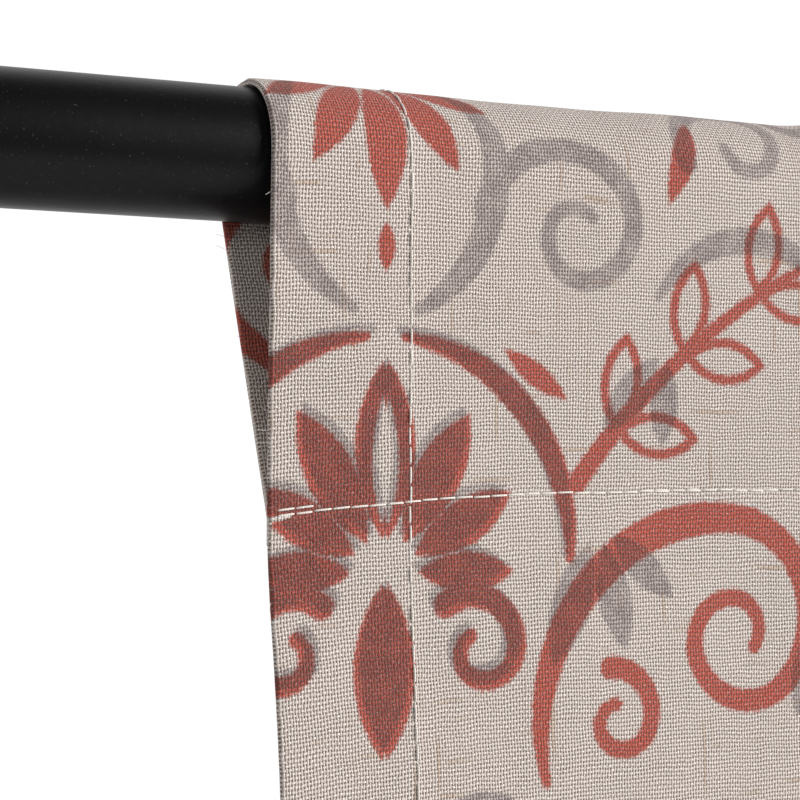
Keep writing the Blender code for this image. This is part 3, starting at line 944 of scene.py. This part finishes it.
@dataclass(frozen=True)
class Gathers:
    """The cloth's folds: small gathers on the rod that run together into deep folds below.

    Attributes:
        width: The panel's hung width.
        cloth_width: The flat width of cloth that is gathered into it.
        count: How many deep folds there are.
        depth: The deep folds' half depth.
        depth_at_seam: The same at the pocket's seam.
        full_at: The depth below the rod where they are fully formed.
        flat_outer: The width beside the outer edge that hangs flat.
        flat_leading: The width beside the leading edge that hangs flat.
        ease: The width over which the folds start and stop.
        small: The small gathers' half depth.
        small_pitch: From one small gather to the next.
    """

    width: float = 0.893
    cloth_width: float = 1.067
    count: int = 7
    depth: float = 0.0145
    depth_at_seam: float = 0.0022
    full_at: float = 0.42
    flat_outer: float = 0.10
    flat_leading: float = 0.04
    ease: float = 0.05
    small: float = 0.0040
    small_pitch: float = 0.0335

    def present(self, across: np.ndarray) -> np.ndarray:
        """How much of the folds is present across the panel: none beside either edge."""
        inner = self.width - self.flat_leading
        start = eased(self.flat_outer, self.flat_outer + self.ease, across)
        return start * (1 - eased(inner - self.ease, inner, across))

    def deep(self, across: np.ndarray) -> np.ndarray:
        """The deep folds' wave, from -1 towards the room to 1 towards the wall."""
        span = self.width - self.flat_outer - self.flat_leading
        turns = self.count * (across - self.flat_outer) / span
        return -np.sin(math.tau * turns) * self.present(across)

    def fine(self, across: np.ndarray) -> np.ndarray:
        """The small gathers' wave, with uneven spacing and size."""
        uneven = 1.1 * np.sin(across * 21.0 + 0.6) + 0.8 * np.sin(across * 47.0)
        size = 0.78 + 0.22 * np.sin(across * 63.0 + 1.0)
        return np.sin(math.tau * across / self.small_pitch + uneven) * size * self.present(across)

    def puff(self, across: np.ndarray) -> np.ndarray:
        """How far the gathers stand off the rod."""
        return self.small * (self.present(across) + self.fine(across)) * 0.85

    def sway(self, across: np.ndarray, depth: np.ndarray) -> np.ndarray:
        """How far the hanging cloth lies towards the wall."""
        grown = eased(0.058, self.full_at, depth)
        deep = self.depth_at_seam + (self.depth - self.depth_at_seam) * grown
        small = self.small * (1 - eased(0.07, self.full_at, depth))
        return deep * self.deep(across) + small * self.fine(across)


@dataclass
class Cloth:
    """A grid of points on the middle of a layer of cloth, with its places on the flat print and weave."""

    points: np.ndarray
    outward: np.ndarray
    printed: np.ndarray
    woven: np.ndarray


def closed_sheet(name: str, cloth: Cloth, thickness: float, facing: int, front: bpy.types.Material,
                 back: bpy.types.Material) -> bpy.types.Object:
    """Gives a grid of points its thickness.

    Args:
        name: The piece's name.
        cloth: The grid.
        thickness: The cloth's thickness.
        facing: 1 or -1, whichever turns the grid's normal out of the printed side.
        front: The finish of the printed side.
        back: The finish of the other side and the cut edges.

    Returns:
        The piece.
    """
    points = cloth.points
    rows, columns = points.shape[:2]
    normal = facing * np.cross(np.gradient(points, axis=1), np.gradient(points, axis=0))
    normal /= np.linalg.norm(normal, axis=2, keepdims=True)
    verts = np.concatenate([(points + normal * thickness / 2).reshape(-1, 3),
                            (points - normal * thickness / 2).reshape(-1, 3)])
    index = np.arange(rows * columns).reshape(rows, columns)
    quads = np.stack([index[:-1, :-1], index[1:, :-1], index[1:, 1:], index[:-1, 1:]], axis=-1).reshape(-1, 4)
    if facing > 0:
        quads = quads[:, ::-1]
    border = np.concatenate([index[0, :], index[1:, -1], index[-1, -2::-1], index[-2::-1, 0]])
    start, end = border[:-1], border[1:]
    rim = np.stack([start, end, end + index.size, start + index.size], axis=-1)
    if facing < 0:
        rim = rim[:, ::-1]
    faces = np.concatenate([quads, quads[:, ::-1] + index.size, rim])
    mesh = bpy.data.meshes.new(name)
    mesh.from_pydata(verts.tolist(), [], faces.tolist())
    mesh.materials.append(front)
    mesh.materials.append(back)
    material = np.concatenate([np.zeros(len(quads), int), np.ones(len(quads) + len(rim), int)])
    mesh.polygons.foreach_set("material_index", material)
    corners = np.empty(len(mesh.loops), int)
    mesh.loops.foreach_get("vertex_index", corners)
    for label, place in (("printed", cloth.printed), ("woven", cloth.woven)):
        layer = mesh.uv_layers.new(name=label)
        layer.uv.foreach_set("vector", place.reshape(-1, 2)[corners % index.size].astype(np.float32).ravel())
    mesh.shade_smooth()
    mesh.set_sharp_from_angle(angle=math.radians(70))
    mesh.validate()
    return added(name, mesh)


def tubes(name: str, paths: Iterable[Sequence[Vector]], radius: float, sides: int,
          finish: bpy.types.Material) -> bpy.types.Object:
    """Sweeps a thin round section along each path, with its ends closed.

    Args:
        name: The piece's name.
        paths: The paths, each a list of points.
        radius: The section's radius.
        sides: The section's number of sides.
        finish: The piece's finish.

    Returns:
        The piece, one mesh for all the paths.
    """
    verts: list[Vector] = []
    faces: list[tuple[int, ...]] = []
    for path in paths:
        first = len(verts)
        side = None
        for number, point in enumerate(path):
            ahead = path[min(number + 1, len(path) - 1)] - path[max(number - 1, 0)]
            ahead.normalize()
            if side is None:
                side = ahead.orthogonal().normalized()
            side = (side - ahead * side.dot(ahead)).normalized()
            other = ahead.cross(side)
            size = radius * (0.55 if number in (0, len(path) - 1) else 1.0)
            for step in range(sides):
                angle = math.tau * step / sides
                verts.append(point + (side * math.cos(angle) + other * math.sin(angle)) * size)
        for ring in range(len(path) - 1):
            base = first + ring * sides
            for step in range(sides):
                after = (step + 1) % sides
                faces.append((base + step, base + after, base + sides + after, base + sides + step))
        faces.append(tuple(reversed(range(first, first + sides))))
        faces.append(tuple(range(len(verts) - sides, len(verts))))
    mesh = bpy.data.meshes.new(name)
    mesh.from_pydata(verts, [], faces)
    mesh.materials.append(finish)
    mesh.shade_smooth()
    return added(name, mesh)


@dataclass
class Panel:
    """One curtain panel on its side of the rod.

    Attributes:
        side: Which side it hangs on.
        finishes: The finishes to dress it in.
        pocket: How it runs over the rod.
        gathers: How it folds.
        outer_x: The distance of its outer edge from the middle.
        hem: The width of a side hem.
        thickness: The cloth's thickness.
        layer: From one layer of cloth to the next.
        draw_length: How far the leading edge is drawn. It is not used.
        stitch: The length of a stitch.
        inset: From a hem's edge to its stitching.
        thread: The sewing thread's radius.
        strip: The width of the strip at the leading edge.
        clear: How far short of the strip the rows of thread across the panel end.
    """

    side: Side
    finishes: Finishes
    pocket: RodPocket
    gathers: Gathers = field(default_factory=Gathers)
    outer_x: float = 0.8996
    hem: float = 0.0262
    thickness: float = 0.00055
    layer: float = 0.0006
    draw_length: float = 0.585
    stitch: float = 0.0032
    inset: float = 0.0018
    thread: float = 0.00017
    strip: float = 0.025
    clear: float = 0.0040

    @property
    def lead(self) -> float:
        """Where the leading edge's strip starts, across the panel."""
        return self.gathers.width - self.strip

    def rise(self, across: np.ndarray) -> np.ndarray:
        """How much higher than at the outer edge the seam lies, where it was sewn askew."""
        return 0.0053 * (1 - np.exp(-np.maximum(across, 0.0) / 0.038)) * (1 - eased(0.13, 0.30, across))

    def place(self, across: np.ndarray, down: np.ndarray, inward: np.ndarray | float = 0.0) -> tuple[
            np.ndarray, np.ndarray]:
        """Finds places on the hung cloth.

        Args:
            across: Distances from the outer edge, as hung.
            down: Distances down from the top fold, negative behind the rod.
            inward: How far behind the cloth's face the place lies.

        Returns:
            The points, and the directions out of the cloth's face.
        """
        across, down = np.broadcast_arrays(across, down)
        deepen = 1 - self.rise(across) / self.pocket.seam_depth
        y, z, out_y, out_z = self.pocket.run(down, deepen)
        depth = np.maximum(-z, 0.0)
        hanging = eased(0.0, 0.050, depth)
        push = self.gathers.puff(across) * (1 - hanging)
        seam = self.pocket.seam_depth - self.rise(across)
        front = down > 0
        relief = -0.00014 * np.exp(-(((depth - seam) / 0.0013) ** 2)) * front
        relief = relief + 0.00012 * (1 - eased(0.0250, 0.0275, across)) * front
        relief = relief - 0.00007 * np.exp(-(((across - (self.hem - self.inset)) / 0.0010) ** 2)) * front
        push = push + relief + self.ripple(across, down) * np.where(front, 1.0, 0.3) - inward
        sway = self.gathers.sway(across, depth) * hanging
        askew = 0.0024 * eased(0.056, 0.110, depth) * np.exp(-np.maximum(across, 0.0) / 0.06)
        askew = askew * (1 - eased(0.16, 0.60, depth)) * front
        x = self.side.value * (self.outer_x - across - askew)
        axis_y, axis_z = self.pocket.axis
        points = np.stack([x, axis_y + y + out_y * push + sway, axis_z + z + out_z * push], axis=-1)
        return points, np.stack([np.zeros_like(x), out_y, out_z], axis=-1)

    @staticmethod
    def ripple(across: np.ndarray, down: np.ndarray) -> np.ndarray:
        """The slight unevenness of linen that has been folded and hung."""
        slow = np.sin(across * 83.0 + 2.2 * np.sin(down * 31.0) + 0.5) * np.sin(down * 44.0 + 1.1)
        quick = np.sin(across * 213.0 + 1.7 * np.sin(down * 90.0)) * np.sin(down * 131.0 + across * 60.0)
        return 0.00022 * slow + 0.00010 * quick

    def columns(self) -> np.ndarray:
        """The places across the panel of its points, closer together beside the outer edge."""
        near = np.arange(0.0018, 0.120, 0.0018)
        return np.concatenate([near, np.linspace(0.120, self.lead, 252)])

    def folded_edge(self, edge: float, away: int) -> tuple[np.ndarray, np.ndarray, np.ndarray]:
        """The columns of a hem: its fold and the layer behind.

        Args:
            edge: Where the fold is, across the panel.
            away: 1 where the cloth lies beyond the edge, -1 where it lies before it.

        Returns:
            The places across, how far each is behind the face, and the flat distance from the face's
            last column round to each.
        """
        radius = self.layer / 2
        turn = np.linspace(0.0, math.pi, 9)
        round_it = edge + away * radius * (1 - np.sin(turn))
        behind = radius * (1 - np.cos(turn))
        back = np.linspace(radius + 0.0015, self.hem, 14)
        across = np.concatenate([round_it, edge + away * back])
        inward = np.concatenate([behind, np.full(back.shape, self.layer)])
        flat = np.concatenate([radius * turn, radius * math.pi + back - radius])
        return across, inward, flat

    def grid(self, across: np.ndarray, inward: np.ndarray, flat: np.ndarray | None = None) -> Cloth:
        """Lays a grid of points over the panel's full length.

        Args:
            across: The columns' places across the panel.
            inward: How far behind the face each column lies.
            flat: The columns' places on the flat cloth, or None to measure them along the folds.

        Returns:
            The grid.
        """
        down = self.pocket.rows()[:, None]
        points, outward = self.place(across[None, :], down, inward[None, :])
        if flat is None:
            flat_across = self.measured(across, down)
        else:
            flat_across = np.broadcast_to(flat[None, :], points.shape[:2])
        drop = np.broadcast_to(down, flat_across.shape)
        askew = self.side.value * (self.side.value * self.outer_x - points[..., 0]) - across[None, :]
        depth = np.clip(down - self.pocket.quarter, 0.0, self.pocket.seam_depth) / self.pocket.seam_depth
        lift = self.rise(across)[None, :] * eased(0.0, 1.0, depth) * (1 - eased(0.16, 0.60, down))
        printed = np.stack([flat_across + askew, -drop], axis=-1)
        woven = np.stack([flat_across, -drop - lift], axis=-1)
        return Cloth(points, outward, printed, woven)

    def measured(self, across: np.ndarray, down: np.ndarray) -> np.ndarray:
        """Measures along the folds, so that the print lies on them without stretching."""
        points, _ = self.place(across[None, :], down)
        steps = np.linalg.norm(np.diff(points, axis=1), axis=2)
        run = np.concatenate([np.zeros((len(points), 1)), np.cumsum(steps, axis=1)], axis=1)
        start = int(np.searchsorted(across, self.gathers.flat_outer))
        base = across[start]
        beyond = run - run[:, start : start + 1]
        total = self.gathers.cloth_width - self.hem - base
        return np.where(across[None, :] <= base, across[None, :], base + beyond * total / beyond[:, -1:])

    def build(self) -> list[bpy.types.Object]:
        """Builds and places every piece of the panel, and returns them."""
        pieces = [*self.cloth(), *self.stitching(), self.fibres()]
        return pieces

    def squashes(self, piece: bpy.types.Object) -> None:
        """Gives a piece its own copy of its mesh."""
        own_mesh(piece)

    def cloth(self) -> tuple[bpy.types.Object, bpy.types.Object]:
        """The panel's cloth, and the folded strip at its leading edge."""
        label, front, back = self.side.label, self.finishes.front, self.finishes.back
        turned, inward, flat = self.folded_edge(0.0, 1)
        face = self.columns()
        across = np.concatenate([turned[::-1], face])
        behind = np.concatenate([inward[::-1], np.zeros(face.shape)])
        main = self.grid(across, behind)
        measured = self.grid(face, np.zeros(face.shape))
        hem = np.broadcast_to((self.layer / 2 - flat[::-1])[None, :], (len(measured.printed), len(flat)))
        for places, shown in ((main.printed, measured.printed), (main.woven, measured.woven)):
            places[:, : len(flat), 0] = hem + (shown[:, :1, 0] - face[0])
            places[:, len(flat) :, 0] = shown[..., 0]
        body = closed_sheet(f"curtain_{label}", main, self.thickness, self.side.value, front, back)
        edge, tucked, run = self.folded_edge(self.gathers.width, -1)
        strip = np.linspace(self.lead, self.gathers.width - self.layer / 2, 10)[:-1]
        wide = self.gathers.cloth_width - self.gathers.width
        flat_strip = np.concatenate([strip + wide, self.gathers.cloth_width - self.layer / 2 + run])
        leading = self.grid(
            np.concatenate([strip, edge]), np.concatenate([np.zeros(strip.shape), tucked]), flat_strip
        )
        hemmed = closed_sheet(
            f"leading_edge_strip_{label}", leading, self.thickness, self.side.value, front, back
        )
        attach(body, f"panel_{label}")
        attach(hemmed, f"leading_edge_{label}")
        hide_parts(f"rod_pocket_{label}", f"face_cloth_{label}", f"side_hem_outer_{label}",
                    f"bottom_hem_{label}")
        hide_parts(f"rod_pocket_leading_{label}", f"side_hem_leading_{label}")
        self.squashes(body)
        return body, hemmed

    def seam(self, across: np.ndarray, down: np.ndarray, behind: float = 0.0) -> list[list[Vector]]:
        """Sews along a line on the cloth.

        Args:
            across: The line's places across the panel.
            down: Its places down from the top fold.
            behind: How many layers behind the face the thread shows, or 0 to show on the face.

        Returns:
            A path for each stitch.
        """
        points, outward = self.place(across, down, behind * self.layer)
        normal = np.stack([np.zeros(len(points)), outward[:, 1], outward[:, 2]], axis=-1)
        lift = self.thickness / 2
        surface = points + normal * (lift if behind == 0 else -lift)
        normal = normal if behind == 0 else -normal
        length = np.concatenate([[0.0], np.cumsum(np.linalg.norm(np.diff(surface, axis=0), axis=1))])
        rng = random.Random(len(points))
        shape = ((0.03, -0.6), (0.10, 0.45), (0.30, 0.95), (0.55, 1.0), (0.80, 0.9), (0.90, 0.4),
                 (0.97, -0.6))
        paths = []
        lean = Vector((1, 0, 0)) if abs(down[-1] - down[0]) > 0.1 else Vector((0, 0, 1))
        wander = 0.0
        for number in range(int(length[-1] / self.stitch)):
            wander = 0.7 * wander + rng.uniform(-0.00012, 0.00012)
            sunk = rng.choice((0.0, 0.0, 0.25, 0.7))
            path = []
            for along, height in shape:
                at = (number + along + rng.uniform(-0.015, 0.015)) * self.stitch
                spot = [np.interp(at, length, surface[:, axis]) for axis in range(3)]
                out = [np.interp(at, length, normal[:, axis]) for axis in range(3)]
                path.append(Vector(spot) + Vector(out) * (height - sunk) * self.thread + lean * wander)
            paths.append(path)
        return paths

    def stitching(self) -> list[bpy.types.Object]:
        """The pocket's, the hems' and the leading edge's stitching, on the face and behind it."""
        label, sewn = self.side.label, self.finishes.thread
        pocket, gathers = self.pocket, self.gathers
        wide = np.arange(0.0012, self.lead - self.clear, 0.0008)
        seam = pocket.quarter + pocket.seam_depth
        face_rows = np.arange(pocket.start + 0.004, pocket.turn, 0.0016)
        back_row = pocket.back_leaves - pocket.back_straight
        hem_row = pocket.turn + math.pi * pocket.bottom_radius + pocket.bottom_hem - self.inset
        runs = {
            "pocket_stitches": [
                (wide, seam - self.rise(wide), 0.0),
                (wide[:11], seam - self.rise(wide[:11]) - 0.0009, 0.0),
                (wide, np.full(wide.shape, back_row), 0.5),
            ],
            "bottom_stitches": [
                (wide, np.full(wide.shape, pocket.length - pocket.bottom_hem + self.inset), 0.0),
                (wide, np.full(wide.shape, hem_row), 0.5),
            ],
        }
        edge = self.hem - self.inset
        sides = {"side_stitches": edge, "leading_stitches": gathers.width - edge}
        for name, place in sides.items():
            line = np.full(face_rows.shape, place)
            hung = face_rows[face_rows > pocket.back_leaves]
            runs[name] = [
                (line, face_rows, 0.0),
                (np.full(hung.shape, place), hung, 1.0),
            ]
        strip = np.arange(self.lead + 0.0006, gathers.width - 0.001, 0.0008)
        runs["leading_stitches"] += [
            (strip, seam - self.rise(strip), 0.0),
            (strip, np.full(strip.shape, pocket.length - pocket.bottom_hem + self.inset), 0.0),
        ]
        replaced = {"pocket_stitches": "pocket_stitching", "bottom_stitches": "bottom_stitching",
                    "side_stitches": "side_stitching"}
        pieces = []
        for name, lines in runs.items():
            paths = [path for line in lines for path in self.seam(*line)]
            piece = tubes(f"{name}_{label}", paths, self.thread, 6, sewn)
            if name in replaced:
                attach(piece, f"panel_{label}")
                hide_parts(f"{replaced[name]}_{label}")
                self.squashes(piece)
            else:
                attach(piece, f"leading_edge_{label}")
            pieces.append(piece)
        return pieces

    def fibres(self) -> bpy.types.Object:
        """A few loose fibres at the pocket's open end and along the seam."""
        rng = random.Random(11 + self.side.value)
        paths = []
        for _ in range(14):
            down = rng.choice((rng.uniform(-0.055, -0.02), rng.uniform(0.02, 0.11)))
            start, outward = self.place(np.array([0.0002]), np.array([down]), 0.0003)
            point = Vector(start[0])
            heading = Vector((self.side.value * rng.uniform(0.3, 1.0), -rng.uniform(-0.2, 0.6),
                              rng.uniform(-0.9, 0.5))).normalized()
            bend = Vector([rng.uniform(-0.25, 0.25) for _ in range(3)])
            path = [point.copy()]
            for _ in range(9):
                heading = (heading + bend * 0.5).normalized()
                point = point + heading * rng.uniform(0.00012, 0.00040)
                path.append(point.copy())
            paths.append(path)
        piece = tubes(f"loose_fibres_{self.side.label}", paths, 0.000035, 4, self.finishes.thread)
        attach(piece, f"panel_{self.side.label}")
        return piece


# Hardware, room and camera


def turned(name: str, profile: Sequence[Point], axis: Vector, centre: Vector, finish: bpy.types.Material,
           flutes: int = 0, bored: bool = False) -> bpy.types.Object:
    """Turns a profile about an axis, as on a lathe.

    Args:
        name: The piece's name.
        profile: Distances along the axis from the centre, with the radius at each.
        axis: The direction of the axis.
        centre: Where the axis starts.
        finish: The piece's finish.
        flutes: How many flutes its widest part has, or 0.
        bored: Whether the profile closes on itself round a bore, instead of ending on the axis.

    Returns:
        The piece.
    """
    sides, rim = 96, max(radius for _, radius in profile)
    side = axis.orthogonal().normalized()
    other = axis.cross(side)
    verts = []
    for along, radius in profile:
        for step in range(sides):
            angle = math.tau * step / sides
            pressed = 0.04 * (1 - math.cos(flutes * angle)) if flutes and radius > 0.9 * rim else 0.0
            reach = max(radius, 1e-6) * (1 - pressed)
            verts.append(centre + axis * along + (side * math.cos(angle) + other * math.sin(angle)) * reach)
    rings = list(zip(range(len(profile)), range(1, len(profile))))
    if bored:
        rings.append((len(profile) - 1, 0))
    faces = [
        (low * sides + step, low * sides + (step + 1) % sides, high * sides + (step + 1) % sides,
         high * sides + step)
        for low, high in rings for step in range(sides)
    ]
    mesh = bpy.data.meshes.new(name)
    mesh.from_pydata(verts, [], faces)
    work = bmesh.new()
    work.from_mesh(mesh)
    bmesh.ops.remove_doubles(work, verts=work.verts, dist=5e-6)
    bmesh.ops.recalc_face_normals(work, faces=work.faces)
    work.to_mesh(mesh)
    work.free()
    mesh.materials.append(finish)
    mesh.shade_smooth()
    mesh.set_sharp_from_angle(angle=math.radians(32))
    return added(name, mesh)


@dataclass
class Hardware:
    """The rod, finials and screws turned smooth, and the brackets, which keep the frame's shapes.

    Attributes:
        finishes: The finishes to dress them in.
        wall: The thickness of a tube's wall.
        gap: The clearance between neighbouring pieces.
        plug: How deep a finial's insert sits in its tube.
        stud: A finial's stud, its radius and length.
        ball: The radius of a finial's ball.
        neck: The radius of the neck behind it.
        flange: The thickness of the insert's flange.
        shank: The radius of a thumb screw.
        knob: The radius and length of its knob.
        travel: How far the knob stands off for the screw's travel.
        lip: The inner radius and thickness of a cradle.
    """

    finishes: Finishes
    wall: float = 0.0008
    gap: float = 0.00035
    plug: float = 0.022
    stud: Point = (0.0030, 0.016)
    ball: float = 0.023
    neck: float = 0.0062
    flange: float = 0.004
    shank: float = 0.0020
    knob: Point = (0.0075, 0.0095)
    travel: float = 0.0036
    lip: Point = (0.0115, 0.0026)

    def build(self) -> list[bpy.types.Object]:
        """Builds every turned piece, dresses the brackets, and returns the new pieces."""
        for name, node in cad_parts.items():
            if name.startswith("bracket"):
                for slot in node.material_slots:
                    slot.material = self.finishes.bracket
        pieces = [self.tube("rod_outer_tube", "rod_and_brackets"),
                  self.tube("rod_inner_tube", "rod_extension")]
        for side, tube, body in ((Side.LEFT, "rod_outer_tube", "rod_and_brackets"),
                                 (Side.RIGHT, "rod_inner_tube", "rod_extension")):
            pieces += [*self.rod_end(side, tube, body), *self.thumb_screw(side)]
        for name in sorted(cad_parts):
            if name.startswith("wall_screw"):
                pieces.append(self.wall_screw(name))
        return pieces

    @staticmethod
    def placed(piece: bpy.types.Object, body: str, node: str, slot: str) -> bpy.types.Object:
        """Hangs a piece on its body in a node's place, and returns it."""
        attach(piece, body)
        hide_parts(node)
        return piece

    @staticmethod
    def span(node: str) -> tuple[Vector, Vector]:
        """A node's lowest and highest corners."""
        low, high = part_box(node)
        return Vector(low), Vector(high)

    def tube(self, node: str, body: str) -> bpy.types.Object:
        """One tube of the rod, with rolled rims."""
        low, high = self.span(node)
        radius = (high.z - low.z) / 2
        bore, length, edge = radius - self.wall, high.x - low.x, 0.0002
        profile = [(edge, radius), (length - edge, radius), (length, radius - edge), (length, bore + edge),
                   (length - edge, bore), (edge, bore), (0.0, bore + edge), (0.0, radius - edge)]
        start = Vector((low.x, (low.y + high.y) / 2, (low.z + high.z) / 2))
        piece = turned(f"{node}_smooth", profile, Vector((1, 0, 0)), start, self.finishes.rod, bored=True)
        return self.placed(piece, body, node, "rod")

    def rod_end(self, side: Side, tube: str, body: str) -> list[bpy.types.Object]:
        """The insert in a tube's end, and the ball finial screwed into it."""
        low, high = self.span(tube)
        radius = (high.z - low.z) / 2
        end = Vector((low.x if side is Side.LEFT else high.x, (low.y + high.y) / 2, (low.z + high.z) / 2))
        axis = Vector((side.value, 0, 0))
        socket, plug = self.stud[0] + self.gap, radius - self.wall - self.gap
        insert = [(-self.plug, socket), (-self.plug, plug), (self.gap, plug), (self.gap, radius - 0.0002),
                  (self.gap + 0.0003, radius), (self.gap + self.flange - 0.0004, radius),
                  (self.gap + self.flange, radius - 0.0004), (self.gap + self.flange, socket)]
        base = 2 * self.gap + self.flange
        middle = base + 0.012 + math.sqrt(self.ball**2 - self.neck**2)
        finial = [(base - self.stud[1], 0.0), (base - self.stud[1], self.stud[0]), (base, self.stud[0]),
                  (base, 0.0118), (base + 0.0006, 0.0124), (base + 0.0015, 0.0128), (base + 0.0035, 0.0128),
                  (base + 0.0043, 0.0125), (base + 0.005, 0.0116), (base + 0.0056, 0.0095),
                  (base + 0.0065, 0.0075), (base + 0.0077, 0.0065), (base + 0.0090, self.neck),
                  (base + 0.0108, self.neck)]
        start = math.asin(self.neck / self.ball)
        for step in range(41):
            angle = start + (math.pi - start) * step / 40
            finial.append((middle - self.ball * math.cos(angle), self.ball * max(math.sin(angle), 0.0)))
        label, black = side.label, self.finishes.rod
        inner = turned(f"finial_insert_{label}_smooth", insert, axis, end, black, bored=True)
        outer = turned(f"ball_finial_{label}", finial, axis, end, black)
        return [self.placed(inner, body, f"finial_insert_{label}", "rod"),
                self.placed(outer, f"finial_{label}", f"finial_{label}", "rod")]

    def thumb_screw(self, side: Side) -> list[bpy.types.Object]:
        """A thumb screw: its shank and the fluted knob on it."""
        low, high = self.span(f"thumb_screw_knob_{side.label}")
        tube_low, tube_high = self.span("rod_outer_tube")
        centre = Vector(((low.x + high.x) / 2, (tube_low.y + tube_high.y) / 2, (low.z + high.z) / 2))
        axis = Vector((0, -1, 0))
        start = sum(self.lip) + self.travel
        rim, end = self.knob[0], start + self.knob[1]
        tip, bore = (tube_high.z - tube_low.z) / 2 + 0.0006, self.shank + self.gap
        shank = [(tip, 0.0), (tip, 0.7 * self.shank), (tip + 0.0006, self.shank), (end - 0.0009, self.shank),
                 (end - 0.0005, 0.8 * self.shank), (end - 0.0005, 0.0)]
        knob = [(start, bore), (start, 0.6 * rim), (start + 0.0015, 0.65 * rim), (start + 0.0022, 0.93 * rim),
                (start + 0.0027, rim), (end - 0.0014, rim), (end - 0.0006, 0.95 * rim), (end, 0.85 * rim),
                (end, bore)]
        made = turned(f"thumb_shank_{side.label}_smooth", shank, axis, centre, self.finishes.screw)
        cap = turned(f"fluted_knob_{side.label}", knob, axis, centre, self.finishes.knob, 12, bored=True)
        return [self.placed(made, f"thumb_shank_{side.label}", f"thumb_screw_shank_{side.label}", "screw"),
                self.placed(cap, f"thumb_knob_{side.label}", f"thumb_screw_knob_{side.label}", "knob")]

    def wall_screw(self, node: str) -> bpy.types.Object:
        """A pan-head wall screw with a driver recess."""
        low, high = self.span(node)
        centre = Vector(((low.x + high.x) / 2, high.y, (low.z + high.z) / 2))
        length, head = high.y - low.y, (high.z - low.z) / 2
        rise, thread = 0.0024, 0.0019
        seat = length - rise
        profile = [(0.0, 0.0), (0.0, thread), (seat, thread), (seat, head), (seat + 0.5 * rise, 0.96 * head),
                   (seat + 0.85 * rise, 0.75 * head), (length, 0.42 * head),
                   (seat + 0.45 * rise, 0.12 * head), (seat + 0.40 * rise, 0.0)]
        piece = turned(f"{node}_smooth", profile, Vector((0, -1, 0)), centre, self.finishes.screw)
        return self.placed(piece, "rod_and_brackets", node, "screw")


@dataclass
class Studio:
    """The room: a white surround, soft lights, a pale floor and the camera."""

    floor_z: float = -1.75
    surround: float = 0.07
    behind: float = 1.0

    def light(self, name: str, place: tuple, aim: tuple, size: float, power: float, colour: tuple) -> None:
        """Adds a square area light aimed at a point."""
        lamp = bpy.data.lights.new(name, "AREA")
        lamp.shape = "SQUARE"
        lamp.size = size
        lamp.energy = power
        lamp.color = colour
        holder = added(name, lamp)
        holder.location = place
        holder.rotation_euler = (Vector(aim) - Vector(place)).to_track_quat("-Z", "Y").to_euler()

    def world(self) -> None:
        """A white backdrop behind the object and a dimmer room in front of it."""
        world = bpy.data.worlds.new("studio")
        world.use_nodes = True
        bpy.context.scene.world = world
        graph = Graph(world.node_tree)
        background = world.node_tree.nodes["Background"]
        _, depth, _ = graph.parts(graph.node("TexCoord").outputs["Generated"])
        glow = graph.remap(depth, 0.05, 0.55, self.surround, self.behind)
        seen = graph.node("LightPath").outputs["Is Camera Ray"]
        strength = graph.math("MAXIMUM", glow, graph.math("MULTIPLY", seen, 1.05))
        background.inputs["Color"].default_value = (1.0, 1.0, 1.0, 1.0)
        graph.feed(background.inputs["Strength"], strength)

    def floor(self) -> None:
        """A pale floor under the curtains."""
        mesh = bpy.data.meshes.new("floor")
        reach = 3.0
        corners = [(x * reach, y * reach, self.floor_z) for x, y in ((-1, -1), (1, -1), (1, 1), (-1, 1))]
        mesh.from_pydata(corners, [], [(0, 1, 2, 3)])
        material, _, shader = new_material("pale floor")
        shader.inputs["Base Color"].default_value = (0.80, 0.80, 0.79, 1.0)
        shader.inputs["Roughness"].default_value = 0.7
        mesh.materials.append(material)
        added("floor", mesh)

    def camera(self) -> None:
        """The camera, close to the left panel's upper corner and level with the pocket's seam."""
        lens = bpy.data.cameras.new("camera")
        lens.lens = 108.0
        lens.sensor_width = 36.0
        lens.clip_start = 0.01
        holder = added("camera", lens)
        holder.location = (-1.0497, -0.4494, -0.0420)
        holder.rotation_euler = Euler((math.radians(92.83), 0.0, math.radians(-26.41)))
        bpy.context.scene.camera = holder

    def build(self) -> None:
        """Builds the room."""
        self.world()
        self.floor()
        self.camera()
        corner = (-0.85, -0.10, -0.03)
        self.light("key", (7.95, -5.50, 3.09), corner, 4.4, 1900.0, (1.0, 0.985, 0.98))
        self.light("fill", (-3.1, -1.5, 0.1), corner, 1.1, 22.0, (0.98, 0.985, 1.0))
        bpy.context.scene.view_settings.view_transform = "Standard"


def main() -> None:
    """Builds the scene piece by piece and reports each one."""
    logging.basicConfig(level=logging.INFO, format="%(name)s: %(message)s")
    Studio().build()
    finishes = Finishes()
    for piece in Hardware(finishes).build():
        log.info("%s: %d faces", piece.name, len(piece.data.polygons))
    low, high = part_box("rod_outer_tube")
    axis = ((low[1] + high[1]) / 2, (low[2] + high[2]) / 2)
    for side in Side:
        for piece in Panel(side, finishes, RodPocket(axis)).build():
            log.info("%s: %d faces", piece.name, len(piece.data.polygons))
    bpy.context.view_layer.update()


if __name__ == "__main__":
    main()
